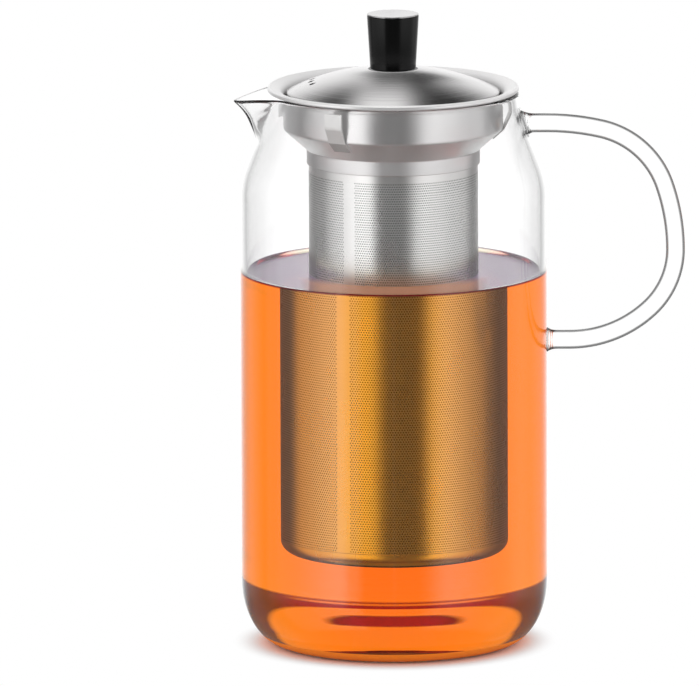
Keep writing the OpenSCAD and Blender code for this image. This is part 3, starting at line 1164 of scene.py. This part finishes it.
    def pad_sections(self, root: float, z: float, heading: float, lean: float,
                     steps: int = 10) -> list[RodSection]:
        """The sections of a melted pad, from inside the wall out to the plain rod.

        Args:
            root: where the wall's outside is.
            z: height of the pad's axis.
            heading: of the rod there.
            lean: of the wall there from upright.
            steps: how many sections there are.

        Returns:
            What ring takes, for each section.
        """
        inside = root - self.wall / 2
        sections: list[RodSection] = []
        for part in np.linspace(0, 1, steps):
            radius = (self.rod + (self.pad - self.rod) * (1 - part) ** self.pad_flare) / 2
            x = inside + (root + self.pad_length - inside) * part
            sections.append((x, z, heading, radius, lean * (1 - part)))
        return sections

    @staticmethod
    def ring(x: float, z: float, heading: float, radius: float, lean: float, sides: int = 40) -> np.ndarray:
        """The points of one section of the rod.

        Args:
            x: of its middle.
            z: of its middle.
            heading: of the rod, turned down from level.
            radius: of the section.
            lean: of its plane from upright.
            sides: how many points it has.

        Returns:
            The points.
        """
        turn = np.linspace(0, math.tau, sides, endpoint=False)
        out = radius * np.cos(turn)
        shear = -out * math.tan(lean)
        return np.column_stack((x + out * math.sin(heading) + shear, -radius * np.sin(turn),
                                z + out * math.cos(heading)))

    def tea_outline(self, steps: int = 60) -> np.ndarray:
        """The tea's section: it reaches nearly through the wall, so that no gap shows between them.

        Args:
            steps: points across the surface.

        Returns:
            Radius and height of each point.
        """
        edge = self.body_r - self.skin
        low = self.base - self.wall / 2
        path = np.array([(0, low), *self.heel(low, edge)])
        radii = np.linspace(edge, 0, steps)
        off_wall = np.clip(self.body_r - self.wall - radii, 0, None)
        climb = self.meniscus * np.exp(-off_wall / self.meniscus_reach)
        return np.vstack((path, np.column_stack((radii, self.tea_level + climb))))


@dataclass
class Perforation:
    """A field of small holes, each closed by a face that takes painted shade, made with geometry nodes from one
    six-sided cell.
    """

    around: float = 0.79
    along: float = 0.82
    hole: float = 0.46
    weld: float = 0.02
    mark: str = "hole"

    def settings(self, columns: int, rows: int, around: float, radius: float) -> dict[str, Any]:
        """The inputs that every field takes.

        Args:
            columns: holes in a row.
            rows: how many rows there are.
            around: from hole to hole in a row.
            radius: of the rolled sheet or the disc.

        Returns:
            The inputs by name.
        """
        # The holes' Inside material is painted shade.
        return {
            "Columns": columns, "Rows": rows, "Around": around * MM, "Along": self.along * MM,
            "Hole": self.hole, "Radius": radius * MM,
            "Sheet": MESH_STEEL.material(), "Inside": PAINTED_SHADE.material(),
        }

    @staticmethod
    def group(name: str, places: Sequence[str]) -> tuple[Graph, Value]:
        """An empty group of geometry nodes.

        Args:
            name: the group's name.
            places: its own inputs, beside those that every field takes.

        Returns:
            The group's tree and its inputs.
        """
        tree = bpy.data.node_groups.new(name, "GeometryNodeTree")
        kinds = {
            "NodeSocketInt": ("Columns", "Rows"),
            "NodeSocketFloat": ("Around", "Along", "Hole", "Radius", *places),
            "NodeSocketMaterial": ("Sheet", "Inside"),
        }
        for kind, labels in kinds.items():
            for label in labels:
                tree.interface.new_socket(label, in_out="INPUT", socket_type=kind)
        tree.interface.new_socket("Geometry", in_out="OUTPUT", socket_type="NodeSocketGeometry")
        graph = Graph(tree)
        return graph, graph.node("NodeGroupInput")

    def cell(self, graph: Graph, given: Value) -> Value:
        """One cell, lying flat, whose hole is a closed face that takes painted shade.

        Args:
            graph: the tree.
            given: the group's inputs.

        Returns:
            The cell's geometry.
        """
        circle = graph.node("GeometryNodeMeshCircle", {"fill_type": "NGON"}, {"Vertices": 6, "Radius": 1.0})
        scale = graph.node("ShaderNodeCombineXYZ", None, {
            "X": given.of("Along") * (2 / 3), "Y": given.of("Around") / math.sqrt(3), "Z": 1.0,
        })
        flat = graph.node("GeometryNodeTransform", None, {
            "Geometry": circle, "Rotation": (0.0, 0.0, math.pi / 2), "Scale": scale,
        })
        raised = graph.node("GeometryNodeExtrudeMesh", None, {"Mesh": flat, "Offset Scale": 0.0})
        shrunk = graph.node("GeometryNodeScaleElements", None, {
            "Geometry": raised, "Selection": raised.of("Top"), "Scale": given.of("Hole"),
        })
        return graph.node("GeometryNodeStoreNamedAttribute", {"data_type": "BOOLEAN", "domain": "FACE"},
                          {"Geometry": shrunk, "Name": self.mark, "Value": raised.of("Top")})

    @staticmethod
    def lattice(graph: Graph, given: Value) -> tuple[Value, Value, Value]:
        """Points in staggered rows, one for each cell.

        Args:
            graph: the tree.
            given: the group's inputs.

        Returns:
            The points, and the place of each along and across the rows.
        """
        columns = given.of("Columns")
        index = graph.node("GeometryNodeInputIndex")
        row = (index / columns).math("FLOOR")
        across = (index % columns + (row % 2.0) * 0.5) * given.of("Around")
        up = row * given.of("Along")
        place = graph.node("ShaderNodeCombineXYZ", None, {"X": across, "Y": up})
        count = columns * given.of("Rows")
        return graph.node("GeometryNodePoints", None, {"Count": count, "Position": place}), across, up

    def sheet_group(self) -> bpy.types.NodeTree:
        """A perforated sheet that is rolled round the axis.

        Returns:
            The group of nodes.
        """
        graph, given = self.group("perforated_sheet", ("Start Angle", "Start Height"))
        points, _, _ = self.lattice(graph, given)
        flat = self.spread(graph, points, self.cell(graph, given))
        x = graph.split(graph.node("GeometryNodeInputPosition"))
        turn = x / given.of("Radius") + given.of("Start Angle")
        rolled = graph.node("ShaderNodeCombineXYZ", None, {
            "X": turn.math("COSINE") * given.of("Radius"),
            "Y": turn.math("SINE") * given.of("Radius"),
            "Z": x.of("Y") + given.of("Start Height"),
        })
        moved = graph.node("GeometryNodeSetPosition", None, {"Geometry": flat, "Position": rolled})
        self.close(graph, moved, given)
        return graph.tree

    def disc_group(self) -> bpy.types.NodeTree:
        """A perforated disc.

        Returns:
            The group of nodes.
        """
        graph, given = self.group("perforated_disc", ("Height",))
        points, across, up = self.lattice(graph, given)
        x = across - given.of("Columns") * given.of("Around") * 0.5
        y = up - given.of("Rows") * given.of("Along") * 0.5
        centred = graph.node("ShaderNodeCombineXYZ", None, {"X": x, "Y": y, "Z": given.of("Height")})
        moved = graph.node("GeometryNodeSetPosition", None, {"Geometry": points, "Position": centred})
        far = reach(graph.split(graph.node("GeometryNodeInputPosition")))
        kept = graph.node("GeometryNodeDeleteGeometry", {"domain": "POINT"}, {
            "Geometry": moved, "Selection": far.math("GREATER_THAN", given.of("Radius")),
        })
        self.close(graph, self.spread(graph, kept, self.cell(graph, given)), given)
        return graph.tree

    def spread(self, graph: Graph, points: Value, cell: Value) -> Value:
        """Puts a cell on each point and welds their edges.

        Args:
            graph: the tree.
            points: where the cells go.
            cell: the cell.

        Returns:
            The welded field.
        """
        placed = graph.node("GeometryNodeInstanceOnPoints", None, {"Points": points, "Instance": cell})
        real = graph.node("GeometryNodeRealizeInstances", None, {"Geometry": placed})
        return graph.node("GeometryNodeMergeByDistance", None, {"Geometry": real, "Distance": self.weld * MM})

    def close(self, graph: Graph, geometry: Value, given: Value) -> None:
        """Ends a group with its materials.

        Args:
            graph: the tree.
            geometry: what the group gives.
            given: the group's inputs.
        """
        real = graph.node("GeometryNodeRealizeInstances", None, {"Geometry": geometry})
        smooth = graph.node("GeometryNodeSetShadeSmooth", None, {"Geometry": real})
        sheet = graph.node("GeometryNodeSetMaterial", None, {
            "Geometry": smooth, "Material": given.of("Sheet"),
        })
        # Hole faces take the Inside material: painted shade.
        inside = graph.node("GeometryNodeInputNamedAttribute", {"data_type": "BOOLEAN"}, {"Name": self.mark})
        done = graph.node("GeometryNodeSetMaterial", None, {
            "Geometry": sheet, "Selection": inside, "Material": given.of("Inside"),
        })
        graph.end("NodeGroupOutput", {"Geometry": done})

    @staticmethod
    def run(name: str, tree: bpy.types.NodeTree, settings: Mapping[str, Any]) -> bpy.types.Mesh:
        """Runs a group once and keeps the mesh.

        Args:
            name: the mesh's name.
            tree: the group of nodes.
            settings: its named inputs.

        Returns:
            The plain mesh.
        """
        holder = bpy.data.objects.new("holder", bpy.data.meshes.new("holder"))
        bpy.context.scene.collection.objects.link(holder)
        modifier = holder.modifiers.new("perforation", "NODES")
        modifier.node_group = tree
        for item in tree.interface.items_tree:
            if item.in_out == "INPUT":
                modifier[item.identifier] = settings[item.name]
        return baked(holder, name)


@dataclass
class Infuser:
    """The collar, the perforated basket under it and the spring tabs."""

    sheet: float = 0.6
    mesh_sheet: float = 0.4
    rest: float = 0.3
    slip: float = 0.05
    drop: float = 1.8
    band_r: float = 37.5
    band_h: float = 12.7
    cone_h: float = 7.2
    bend: float = 1.6
    flange_bend: float = 4.0
    edge_normal: float = 0.5
    holes_low: float = 37.0
    holes_high: float = 164.2
    hidden: float = 0.03
    top_lap: float = 1.2
    seam: float = 4.4
    seam_lap: float = 0.5
    seam_angle: float = math.radians(-121.5)
    panels: int = 4
    foot_bend: float = 4.4
    foot_lip: float = 7.9
    foot_normal: float = -0.85
    floor_margin: float = 2.2
    floor_lap: float = 0.6
    tab_w: float = 6.4
    tab_t: float = 0.5
    tab_foot: float = 5.0
    tab_lean: float = 5.6
    tab_bend: float = 4.0
    tab_tip_r: float = 40.12
    tab_shade: float = 0.6
    tab_angles: tuple[float, ...] = (-120.0, 0.0, 120.0)

    def build(self) -> None:
        """Makes the pieces."""
        self.collar()
        self.basket()
        self.foot_ring()
        self.floor()
        self.tabs()

    def sleeve(self) -> float:
        """Radius of the middle of the sleeve's sheet, in millimetres."""
        return box("basket_wall")[1].x + self.slip + self.sheet / 2

    def cone_top(self) -> float:
        """Height where the band turns into the cone, in millimetres."""
        return box("infuser_collar")[1].z - self.drop - self.band_h

    def collar(self) -> None:
        """The pressed flange, band, cone and sleeve."""
        low, high = box("infuser_collar")
        rim = box("jug_body")[1].z
        half = self.sheet / 2
        band_top = high.z - self.drop
        cone_top = self.cone_top()
        path = fillet([
            (high.x - half, rim + self.rest),
            (high.x - half, high.z - half, self.sheet),
            (self.band_r - half, band_top - half, self.flange_bend),
            (self.band_r - half, cone_top, self.bend),
            (self.sleeve(), cone_top - self.cone_h, self.bend),
            (self.sleeve(), low.z),
        ])
        turned = Shape.turned(counter_clockwise(sheet_outline(path, self.sheet)), 160)
        collar = show(turned.mesh("collar"), COLLAR_STEEL, Body.INFUSER, ["infuser_collar"])
        # The cone, sleeve, flange and outer edge take lit and shaded copies of the collar steel: painted light
        # and shade.
        middle = cone_top - self.cone_h / 2
        paint(collar, CONE_STEEL, lambda face: abs(face.center.z / MM - middle) < self.cone_h / 2)
        paint(collar, SLEEVE_STEEL, lambda face: face.center.z / MM < cone_top - self.cone_h)
        paint(collar, FLANGE_STEEL, lambda face: face.center.z / MM > band_top - 2 * self.sheet)
        edge = (high.x - self.sheet) * MM
        paint(collar, EDGE_STEEL,
              lambda face: face.normal.z < self.edge_normal and face.center.xy.length > edge)

    def basket(self) -> None:
        """The rolled perforated sheet, its plain edges and its seam."""
        low, high = box("basket_wall")
        radius = high.x
        holes = Perforation()
        open_length = math.tau * radius - self.seam
        columns = math.floor(open_length / holes.around / self.panels)
        around = open_length / self.panels / columns
        rows = round((self.holes_high - self.holes_low) / holes.along)
        first = self.seam_angle + (self.seam / 2 + around / 4) / radius
        tree = holes.sheet_group()
        for panel in range(self.panels):
            mesh = holes.run(f"basket_mesh_{panel + 1}", tree, {
                **holes.settings(columns, rows, around, radius),
                "Start Angle": first + panel * columns * around / radius,
                "Start Height": self.holes_low * MM,
            })
            show(mesh, None, Body.INFUSER, ["basket_wall"])
        top = self.holes_low + rows * holes.along
        radii = (radius - self.mesh_sheet, radius - self.hidden)
        self.plain_ring("basket_low_edge", "basket_wall", radii, (low.z, self.holes_low))
        self.plain_ring("basket_top_edge", "basket_wall", radii, (top - self.top_lap, high.z))
        self.seam_strip(radii, (self.holes_low - self.seam_lap, top))

    @staticmethod
    def plain_ring(name: str, node: str, radii: Span, heights: Span, sides: int = 160) -> None:
        """A plain ring beside the perforations.

        Args:
            name: the piece's name.
            node: the CAD node it stands for.
            radii: its inner and outer radius.
            heights: its lower and upper end.
            sides: how many sides it has.
        """
        (inner, outer), (low, high) = radii, heights
        outline = np.array([(inner, low), (outer, low), (outer, high), (inner, high)])
        show(Shape.turned(outline, sides).mesh(name), MESH_STEEL, Body.INFUSER, [node])

    def seam_strip(self, radii: Span, heights: Span, steps: int = 12) -> None:
        """The plain strip where the rolled sheet is welded.

        Args:
            radii: its inner and outer radius.
            heights: its lower and upper end.
            steps: segments across the strip.
        """
        (inner, outer), (low, high) = radii, heights
        half = (self.seam / 2 + self.seam_lap) / outer
        section = ((inner, low), (inner, high), (outer, high), (outer, low))
        rings = [np.array([(radius * math.cos(turn), radius * math.sin(turn), z) for radius, z in section])
                 for turn in np.linspace(self.seam_angle - half, self.seam_angle + half, steps + 1)]
        strip = Shape.tube(rings).mesh("basket_seam")
        show(strip, MESH_STEEL, Body.INFUSER, ["basket_wall"])

    def foot_ring(self) -> None:
        """The plain band round the bottom with its turned-in lip."""
        low, high = box("basket_foot_ring")
        half = self.mesh_sheet / 2
        path = fillet([
            (high.x - half, high.z),
            (high.x - half, low.z + half, self.foot_bend),
            (high.x - half - self.foot_lip, low.z + half),
        ])
        turned = Shape.turned(counter_clockwise(sheet_outline(path, self.mesh_sheet)), 160)
        ring = show(turned.mesh("foot_ring"), MESH_STEEL, Body.INFUSER, ["basket_foot_ring"])
        # The underside of the lip takes painted shade.
        paint(ring, PAINTED_SHADE, lambda face: face.normal.z < self.foot_normal)

    def floor(self) -> None:
        """The perforated floor and its plain edge."""
        low, high = box("basket_floor")
        holes = Perforation()
        radius = high.x - self.floor_margin
        columns = math.ceil(2 * radius / holes.around)
        rows = math.ceil(2 * radius / holes.along)
        mesh = holes.run("floor_mesh", holes.disc_group(), {
            **holes.settings(columns, rows, holes.around, radius),
            "Height": high.z * MM,
        })
        show(mesh, None, Body.INFUSER, ["basket_floor"])
        radii = (radius - self.floor_lap, high.x)
        self.plain_ring("floor_edge", "basket_floor", radii, (low.z, high.z - self.hidden), sides=128)

    def tabs(self) -> None:
        """The three spring tabs, each on a body of its own: a foot on the cone, then up outside the band."""
        half = self.sheet / 2
        band, sleeve = self.band_r - half, self.sleeve()
        down = np.array((sleeve - band, -self.cone_h)) / math.hypot(band - sleeve, self.cone_h)
        off = half + self.slip + self.tab_t / 2
        root = np.array((band - down[1] * off, self.cone_top() + down[0] * off))
        for number, angle in enumerate(self.tab_angles, 1):
            body = Body(f"spring_tab_{number}")
            path = fillet([
                root + down * self.tab_foot,
                (*root, self.tab_t),
                (self.tab_tip_r, root[1] + self.tab_lean, self.tab_bend),
                (self.tab_tip_r, box(body.value)[1].z),
            ])
            outline = counter_clockwise(sheet_outline(path, self.tab_t))
            rings = [np.column_stack((outline[:, 0], np.full(len(outline), y), outline[:, 1]))
                     for y in np.linspace(self.tab_w / 2, -self.tab_w / 2, 5)]
            strip = Shape.tube(rings).placed(Matrix.Rotation(math.radians(angle), 4, "Z"))
            tab = show(strip.mesh(f"tab_{number}"), SPRING_STEEL, body, [body.value])
            paint(tab, SHADED_STEEL, lambda face: face.center.z / MM < root[1] + self.tab_shade)


@dataclass
class Lid:
    """The domed lid, its skirt and its knob."""

    sheet: float = 0.6
    seat: float = 8.5
    seat_normal: float = 0.999
    hole: float = 2.1
    edge: float = 1.2
    edge_bend: float = 0.25
    edge_in: float = 0.2
    edge_drop: float = 0.1
    vent: float = 1.1
    vent_reach: float = 28.0
    vent_pitch: float = 5.0
    vents: int = 3
    pin_below: float = 12.0
    pin_above: float = 2.0
    skirt_sheet: float = 0.5
    knob_foot: float = 7.8
    knob_bore: float = 3.6
    bevel: float = 0.5
    cap_spigot: float = 2.5
    cap_bevel: float = 0.12

    def build(self) -> None:
        """Makes the pieces."""
        self.dome()
        self.skirt()
        self.knob()
        self.cap()
        self.fasteners()

    def dome(self) -> None:
        """The domed sheet with its steam vents."""
        low, high = box("lid_dome")
        rise = high.z - low.z - self.edge
        outer, inner = high.x, high.x - self.sheet
        base = low.z + self.edge
        drop = (outer**2 - self.seat**2 - rise**2) / (2 * rise)
        ball = math.hypot(outer, drop)
        top = self.arc(ball, base - drop, self.seat, outer - self.edge_in)
        under = self.arc(ball - self.sheet, base - drop, inner - self.edge_drop, self.seat)
        corner = (outer, base - self.edge_drop, self.edge_bend)
        skin = fillet([tuple(top[-1]), corner, (outer, low.z), (inner, low.z)], steps=5)
        seat_low = high.z - 2 * self.sheet
        seat = [(self.seat, seat_low), (self.hole, seat_low), (self.hole, high.z)]
        turned = Shape.turned(counter_clockwise(np.vstack((under, seat, top, skin[1:]))), 192)
        mesh = self.pierced(turned.mesh("lid_dome_sheet"), high.z)
        mesh.shade_smooth()
        mesh.set_sharp_from_angle(angle=math.radians(35.0))
        dome = show(mesh, LID_STEEL, Body.LID, ["lid_dome"])
        # The flat seat under the knob takes painted shade.
        lowest = (high.z - self.sheet) * MM
        paint(dome, SEAT_STEEL, lambda face: face.normal.z > self.seat_normal and face.center.z > lowest)

    @staticmethod
    def arc(ball: float, middle: float, start: float, end: float, steps: int = 40) -> np.ndarray:
        """Radius and height of points on a ball's upper side, by its radius and middle."""
        radii = np.linspace(start, end, steps)
        return np.column_stack((radii, middle + np.sqrt(ball**2 - radii**2)))

    def pierced(self, mesh: bpy.types.Mesh, top: float) -> bpy.types.Mesh:
        """The dome with its vents cut.

        Args:
            mesh: the whole dome.
            top: the dome's height; the cutting pins pass through it.

        Returns:
            The cut mesh.
        """
        step = 2 * math.asin(self.vent_pitch / 2 / self.vent_reach)
        low, high = top - self.pin_below, top + self.pin_above
        pin = np.array([(0, low), (self.vent, low), (self.vent, high), (0, high)], float)
        pins = Shape(np.zeros((0, 3)), [])
        for number in range(self.vents):
            angle = math.pi + step * (number - (self.vents - 1) / 2)
            away = Vector((math.cos(angle), math.sin(angle), 0)) * self.vent_reach
            one = Shape.turned(pin, 32, closed=False).placed(Matrix.Translation(away))
            start = len(pins.points)
            pins.points = np.vstack((pins.points, one.points))
            pins.faces += [tuple(corner + start for corner in face) for face in one.faces]
        cutter = bpy.data.objects.new("vent_pins", pins.mesh("vent_pins"))
        whole = bpy.data.objects.new("whole_dome", mesh)
        for item in (cutter, whole):
            bpy.context.scene.collection.objects.link(item)
        cut = whole.modifiers.new("vents", "BOOLEAN")
        cut.operation = "DIFFERENCE"
        cut.solver = "EXACT"
        cut.object = cutter
        made = baked(whole, "dome")
        bpy.data.meshes.remove(cutter.data)
        return made

    def skirt(self) -> None:
        """The locating ring under the dome."""
        low, high = box("lid_skirt")
        middle = high.x - self.skirt_sheet / 2
        outline = sheet_outline(np.array([(middle, low.z), (middle, high.z)]), self.skirt_sheet)
        turned = Shape.turned(counter_clockwise(outline), 160)
        show(turned.mesh("skirt"), LID_STEEL, Body.LID, ["lid_skirt"])

    def knob(self) -> None:
        """The black tapered knob."""
        low, high = box("lid_knob")
        outline = fillet([
            (self.knob_bore, low.z),
            (self.knob_foot, low.z, self.bevel),
            (high.x, high.z, self.bevel),
            (self.knob_bore, high.z),
        ])
        turned = Shape.turned(counter_clockwise(outline), 128)
        knob = show(turned.mesh("knob"), KNOB_BLACK, Body.LID, ["lid_knob"])
        knob.visible_glossy = False

    def cap(self) -> None:
        """The bare steel disc on the knob, with the spigot that holds it."""
        low, high = box("knob_cap")
        knob_top = box("lid_knob")[1].z
        disc = fillet([
            (0, low.z),
            (self.cap_spigot, low.z),
            (self.cap_spigot, knob_top),
            (high.x, knob_top),
            (high.x, high.z, self.cap_bevel),
            (0, high.z),
        ], steps=5)
        turned = Shape.turned(subdivide(disc, longest=1.0), 128, closed=False)
        cap = show(turned.mesh("cap"), CAP_STEEL, Body.LID, ["knob_cap"])
        cap.visible_glossy = False

    @staticmethod
    def fasteners() -> None:
        """Finishes of the CAD nodes that hold the knob."""
        finishes = {
            "knob_insert": (BRASS, Slot.BRASS),
            "knob_washer": (FASTENER_STEEL, Slot.FASTENER),
            "knob_screw": (FASTENER_STEEL, Slot.FASTENER),
        }
        for node, (finish, slot) in finishes.items():
            piece = bpy.data.objects[node]
            piece.data.materials.clear()
            piece.data.materials.append(finish.material())
            piece.visible_glossy = False
            LOG.info("kept %s", node)


@dataclass(frozen=True)
class SoftBox:
    """An upright soft light, as reflections see it; azimuths are in degrees, 0 towards the camera."""

    start: float
    end: float
    blur: float
    start_level: float
    end_level: float
    shift: float = 0.0

    def light(self, azimuth: Value, inside: Value) -> Value:
        """The box's level in each direction.

        Args:
            azimuth: of the direction.
            inside: 1 for what stands behind glass, which sees the box shifted.

        Returns:
            The level.
        """
        half = (self.end - self.start) / 2
        middle = (self.end + self.start) / 2
        off = (azimuth - inside * self.shift - (middle - 180.0)) % 360.0 - 180.0
        within = abs(off).ramp(half - self.blur, half + self.blur, 1.0, 0.0)
        return within * off.ramp(-half, half, self.start_level, self.end_level)


@dataclass(frozen=True)
class Surroundings:
    """What reflections see: soft boxes at the sides, a panel overhead and a dim floor.

    Azimuths and heights are in degrees. What light reaches through more clear surfaces than behind_glass
    stands behind glass, and through more than in_tea, in the tea.
    """

    dark_level: float = 0.18
    boxes: tuple[SoftBox, ...] = (
        SoftBox(-112.0, -37.0, 5.0, 0.4, 1.4, 10.0),
        SoftBox(34.0, 118.0, 9.0, 1.0, 0.42, -8.0),
        SoftBox(100.0, 235.0, 15.0, 0.3, 0.3),
        SoftBox(158.0, 202.0, 14.0, 0.75, 0.75),
    )
    tea_boxes: tuple[SoftBox, ...] = (
        SoftBox(-140.0, -20.0, 6.0, 0.6, 1.2),
        SoftBox(41.0, 125.0, 5.0, 1.15, 0.35),
    )
    behind_glass: float = 0.5
    in_tea: float = 5.5
    rear: float = 178.0
    rear_half: Span = (4.0, 8.0)
    rear_height: Span = (13.0, 20.0)
    box_top: Span = (16.0, 44.0)
    box_top_level: float = 0.03
    left_side: Span = (-0.06, 0.04)
    left_lift: float = 2.5
    panel_height: Span = (24.0, 68.0)
    panel_levels: Span = (0.08, 1.5)
    panel_half: Span = (0.08, 0.24)
    panel_off: float = 0.06
    lowest_rise: float = 0.1
    floor_height: Span = (-18.0, -11.0)
    floor_drop: float = 34.0
    floor_level: float = 0.25

    def light(self, graph: Graph, walls: Value) -> Value:
        """The level in each direction.

        Args:
            graph: the world's tree.
            walls: how many clear surfaces the light crosses.

        Returns:
            The level.
        """
        inside = walls.math("GREATER_THAN", self.behind_glass)
        steeped = walls.math("GREATER_THAN", self.in_tea)
        x = graph.split(graph.node("ShaderNodeTexCoord", output="Generated"))
        rise = x.of("Z")
        azimuth = x.math("ARCTAN2", -x.of("Y")) * math.degrees(1.0)
        height = rise.math("ARCSINE") * math.degrees(1.0)
        dry = self.all_boxes(self.boxes, azimuth, inside)
        wet = self.all_boxes(self.tea_boxes, azimuth, inside)
        level = dry + (wet - dry) * steeped
        rear = abs(azimuth % 360.0 - self.rear).ramp(*self.rear_half, 1.0, 0.0)
        lift = x.ramp(*self.left_side, self.left_lift, 0.0)
        shade = (height - lift).ramp(*self.box_top, 1.0, self.box_top_level)
        dim = 1.0 - shade * (1.0 - rear * height.ramp(*self.rear_height))
        level = level * (1.0 - dim * (1.0 - inside))
        across = abs(x / rise.math("MAXIMUM", self.lowest_rise) + self.panel_off)
        panel = height.ramp(*self.panel_height, *self.panel_levels) * across.ramp(*self.panel_half, 1.0, 0.0)
        above = (height + inside * self.floor_drop).ramp(*self.floor_height)
        return (level + panel) * above + (1.0 - above) * self.floor_level

    def all_boxes(self, boxes: Sequence[SoftBox], azimuth: Value, inside: Value) -> Value:
        """The level of several boxes and the dark between them."""
        first, *others = (soft.light(azimuth, inside) for soft in boxes)
        return sum(others, first + self.dark_level)


@dataclass
class Studio:
    """The white floor, the camera and the light."""

    aim: tuple[float, float, float] = (-15.2, 0.0, 103.5)
    distance: float = 6500.0
    elevation: float = math.radians(10.3)
    roll: float = math.radians(-0.2)
    scale: float = 2.919
    picture_width: float = 699.0
    sensor: float = 36.0
    sight: float = 100.0
    bounces: int = 32
    floor_size: float = 8.0
    floor_gap: float = 0.0003
    plain_level: float = 1.08
    clear_level: float = 1.15
    mirrored: Surroundings = Surroundings()

    def build(self) -> None:
        """Makes the stage."""
        scene = bpy.context.scene
        scene.view_settings.view_transform = "Standard"
        scene.cycles.max_bounces = self.bounces
        scene.cycles.transmission_bounces = self.bounces
        scene.cycles.glossy_bounces = self.bounces
        self.floor(scene)
        self.camera(scene)
        self.world(scene)

    def floor(self, scene: bpy.types.Scene) -> None:
        """A white floor that keeps the shadow.

        Args:
            scene: the scene it belongs to.
        """
        half = self.floor_size / 2
        corners = [(x * half, y * half, -self.floor_gap) for x, y in ((-1, -1), (1, -1), (1, 1), (-1, 1))]
        mesh = bpy.data.meshes.new("floor")
        mesh.from_pydata(corners, [], [(0, 1, 2, 3)])
        mesh.materials.append(WHITE_FLOOR.material())
        plane = bpy.data.objects.new("floor", mesh)
        plane.visible_glossy = False
        plane.visible_transmission = False
        scene.collection.objects.link(plane)

    def camera(self, scene: bpy.types.Scene) -> None:
        """A long lens from a little above.

        Args:
            scene: the scene it looks at.
        """
        data = bpy.data.cameras.new("camera")
        data.sensor_width = self.sensor
        data.lens = self.scale * self.distance * self.sensor / self.picture_width
        data.clip_end = self.sight
        eye = bpy.data.objects.new("camera", data)
        back = Vector((0.0, -math.cos(self.elevation), math.sin(self.elevation)))
        eye.rotation_mode = "QUATERNION"
        eye.location = (Vector(self.aim) + back * self.distance) * MM
        turn = (-back).to_track_quat("-Z", "Y").to_matrix() @ Matrix.Rotation(self.roll, 3, "Z")
        eye.rotation_quaternion = turn.to_quaternion()
        scene.collection.objects.link(eye)
        scene.camera = eye

    def world(self, scene: bpy.types.Scene) -> None:
        """White all round, with soft boxes and dark gaps that only reflections see.

        Args:
            scene: the scene it lights.
        """
        world = bpy.data.worlds.new("studio")
        scene.world = world
        world.use_nodes = True
        world.cycles.sampling_method = "NONE"
        graph = Graph(world.node_tree)
        camera = graph.node("ShaderNodeLightPath", output="Is Camera Ray")
        reflected = camera.of("Glossy Depth").math("GREATER_THAN", 0.5)
        diffuse = camera.of("Is Diffuse Ray")
        plain = graph.mix(diffuse, grey(self.clear_level), grey(self.plain_level))
        mirrored = self.mirrored.light(graph, camera.of("Transmission Depth"))
        seen = graph.mix(reflected * (1.0 - diffuse), plain, mirrored)
        colour = graph.mix(camera, seen, grey(1.0))
        light = graph.node("ShaderNodeBackground", None, {"Color": colour, "Strength": 1.0})
        graph.end("ShaderNodeOutputWorld", {"Surface": light})


def main() -> None:
    """Builds the looks in order."""
    logging.basicConfig(level=logging.INFO, format="%(name)s: %(message)s")
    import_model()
    for part in (Jug(), Infuser(), Lid(), Studio()):
        part.build()
        LOG.info("built %s", type(part).__name__.lower())


if __name__ == "__main__":
    main()
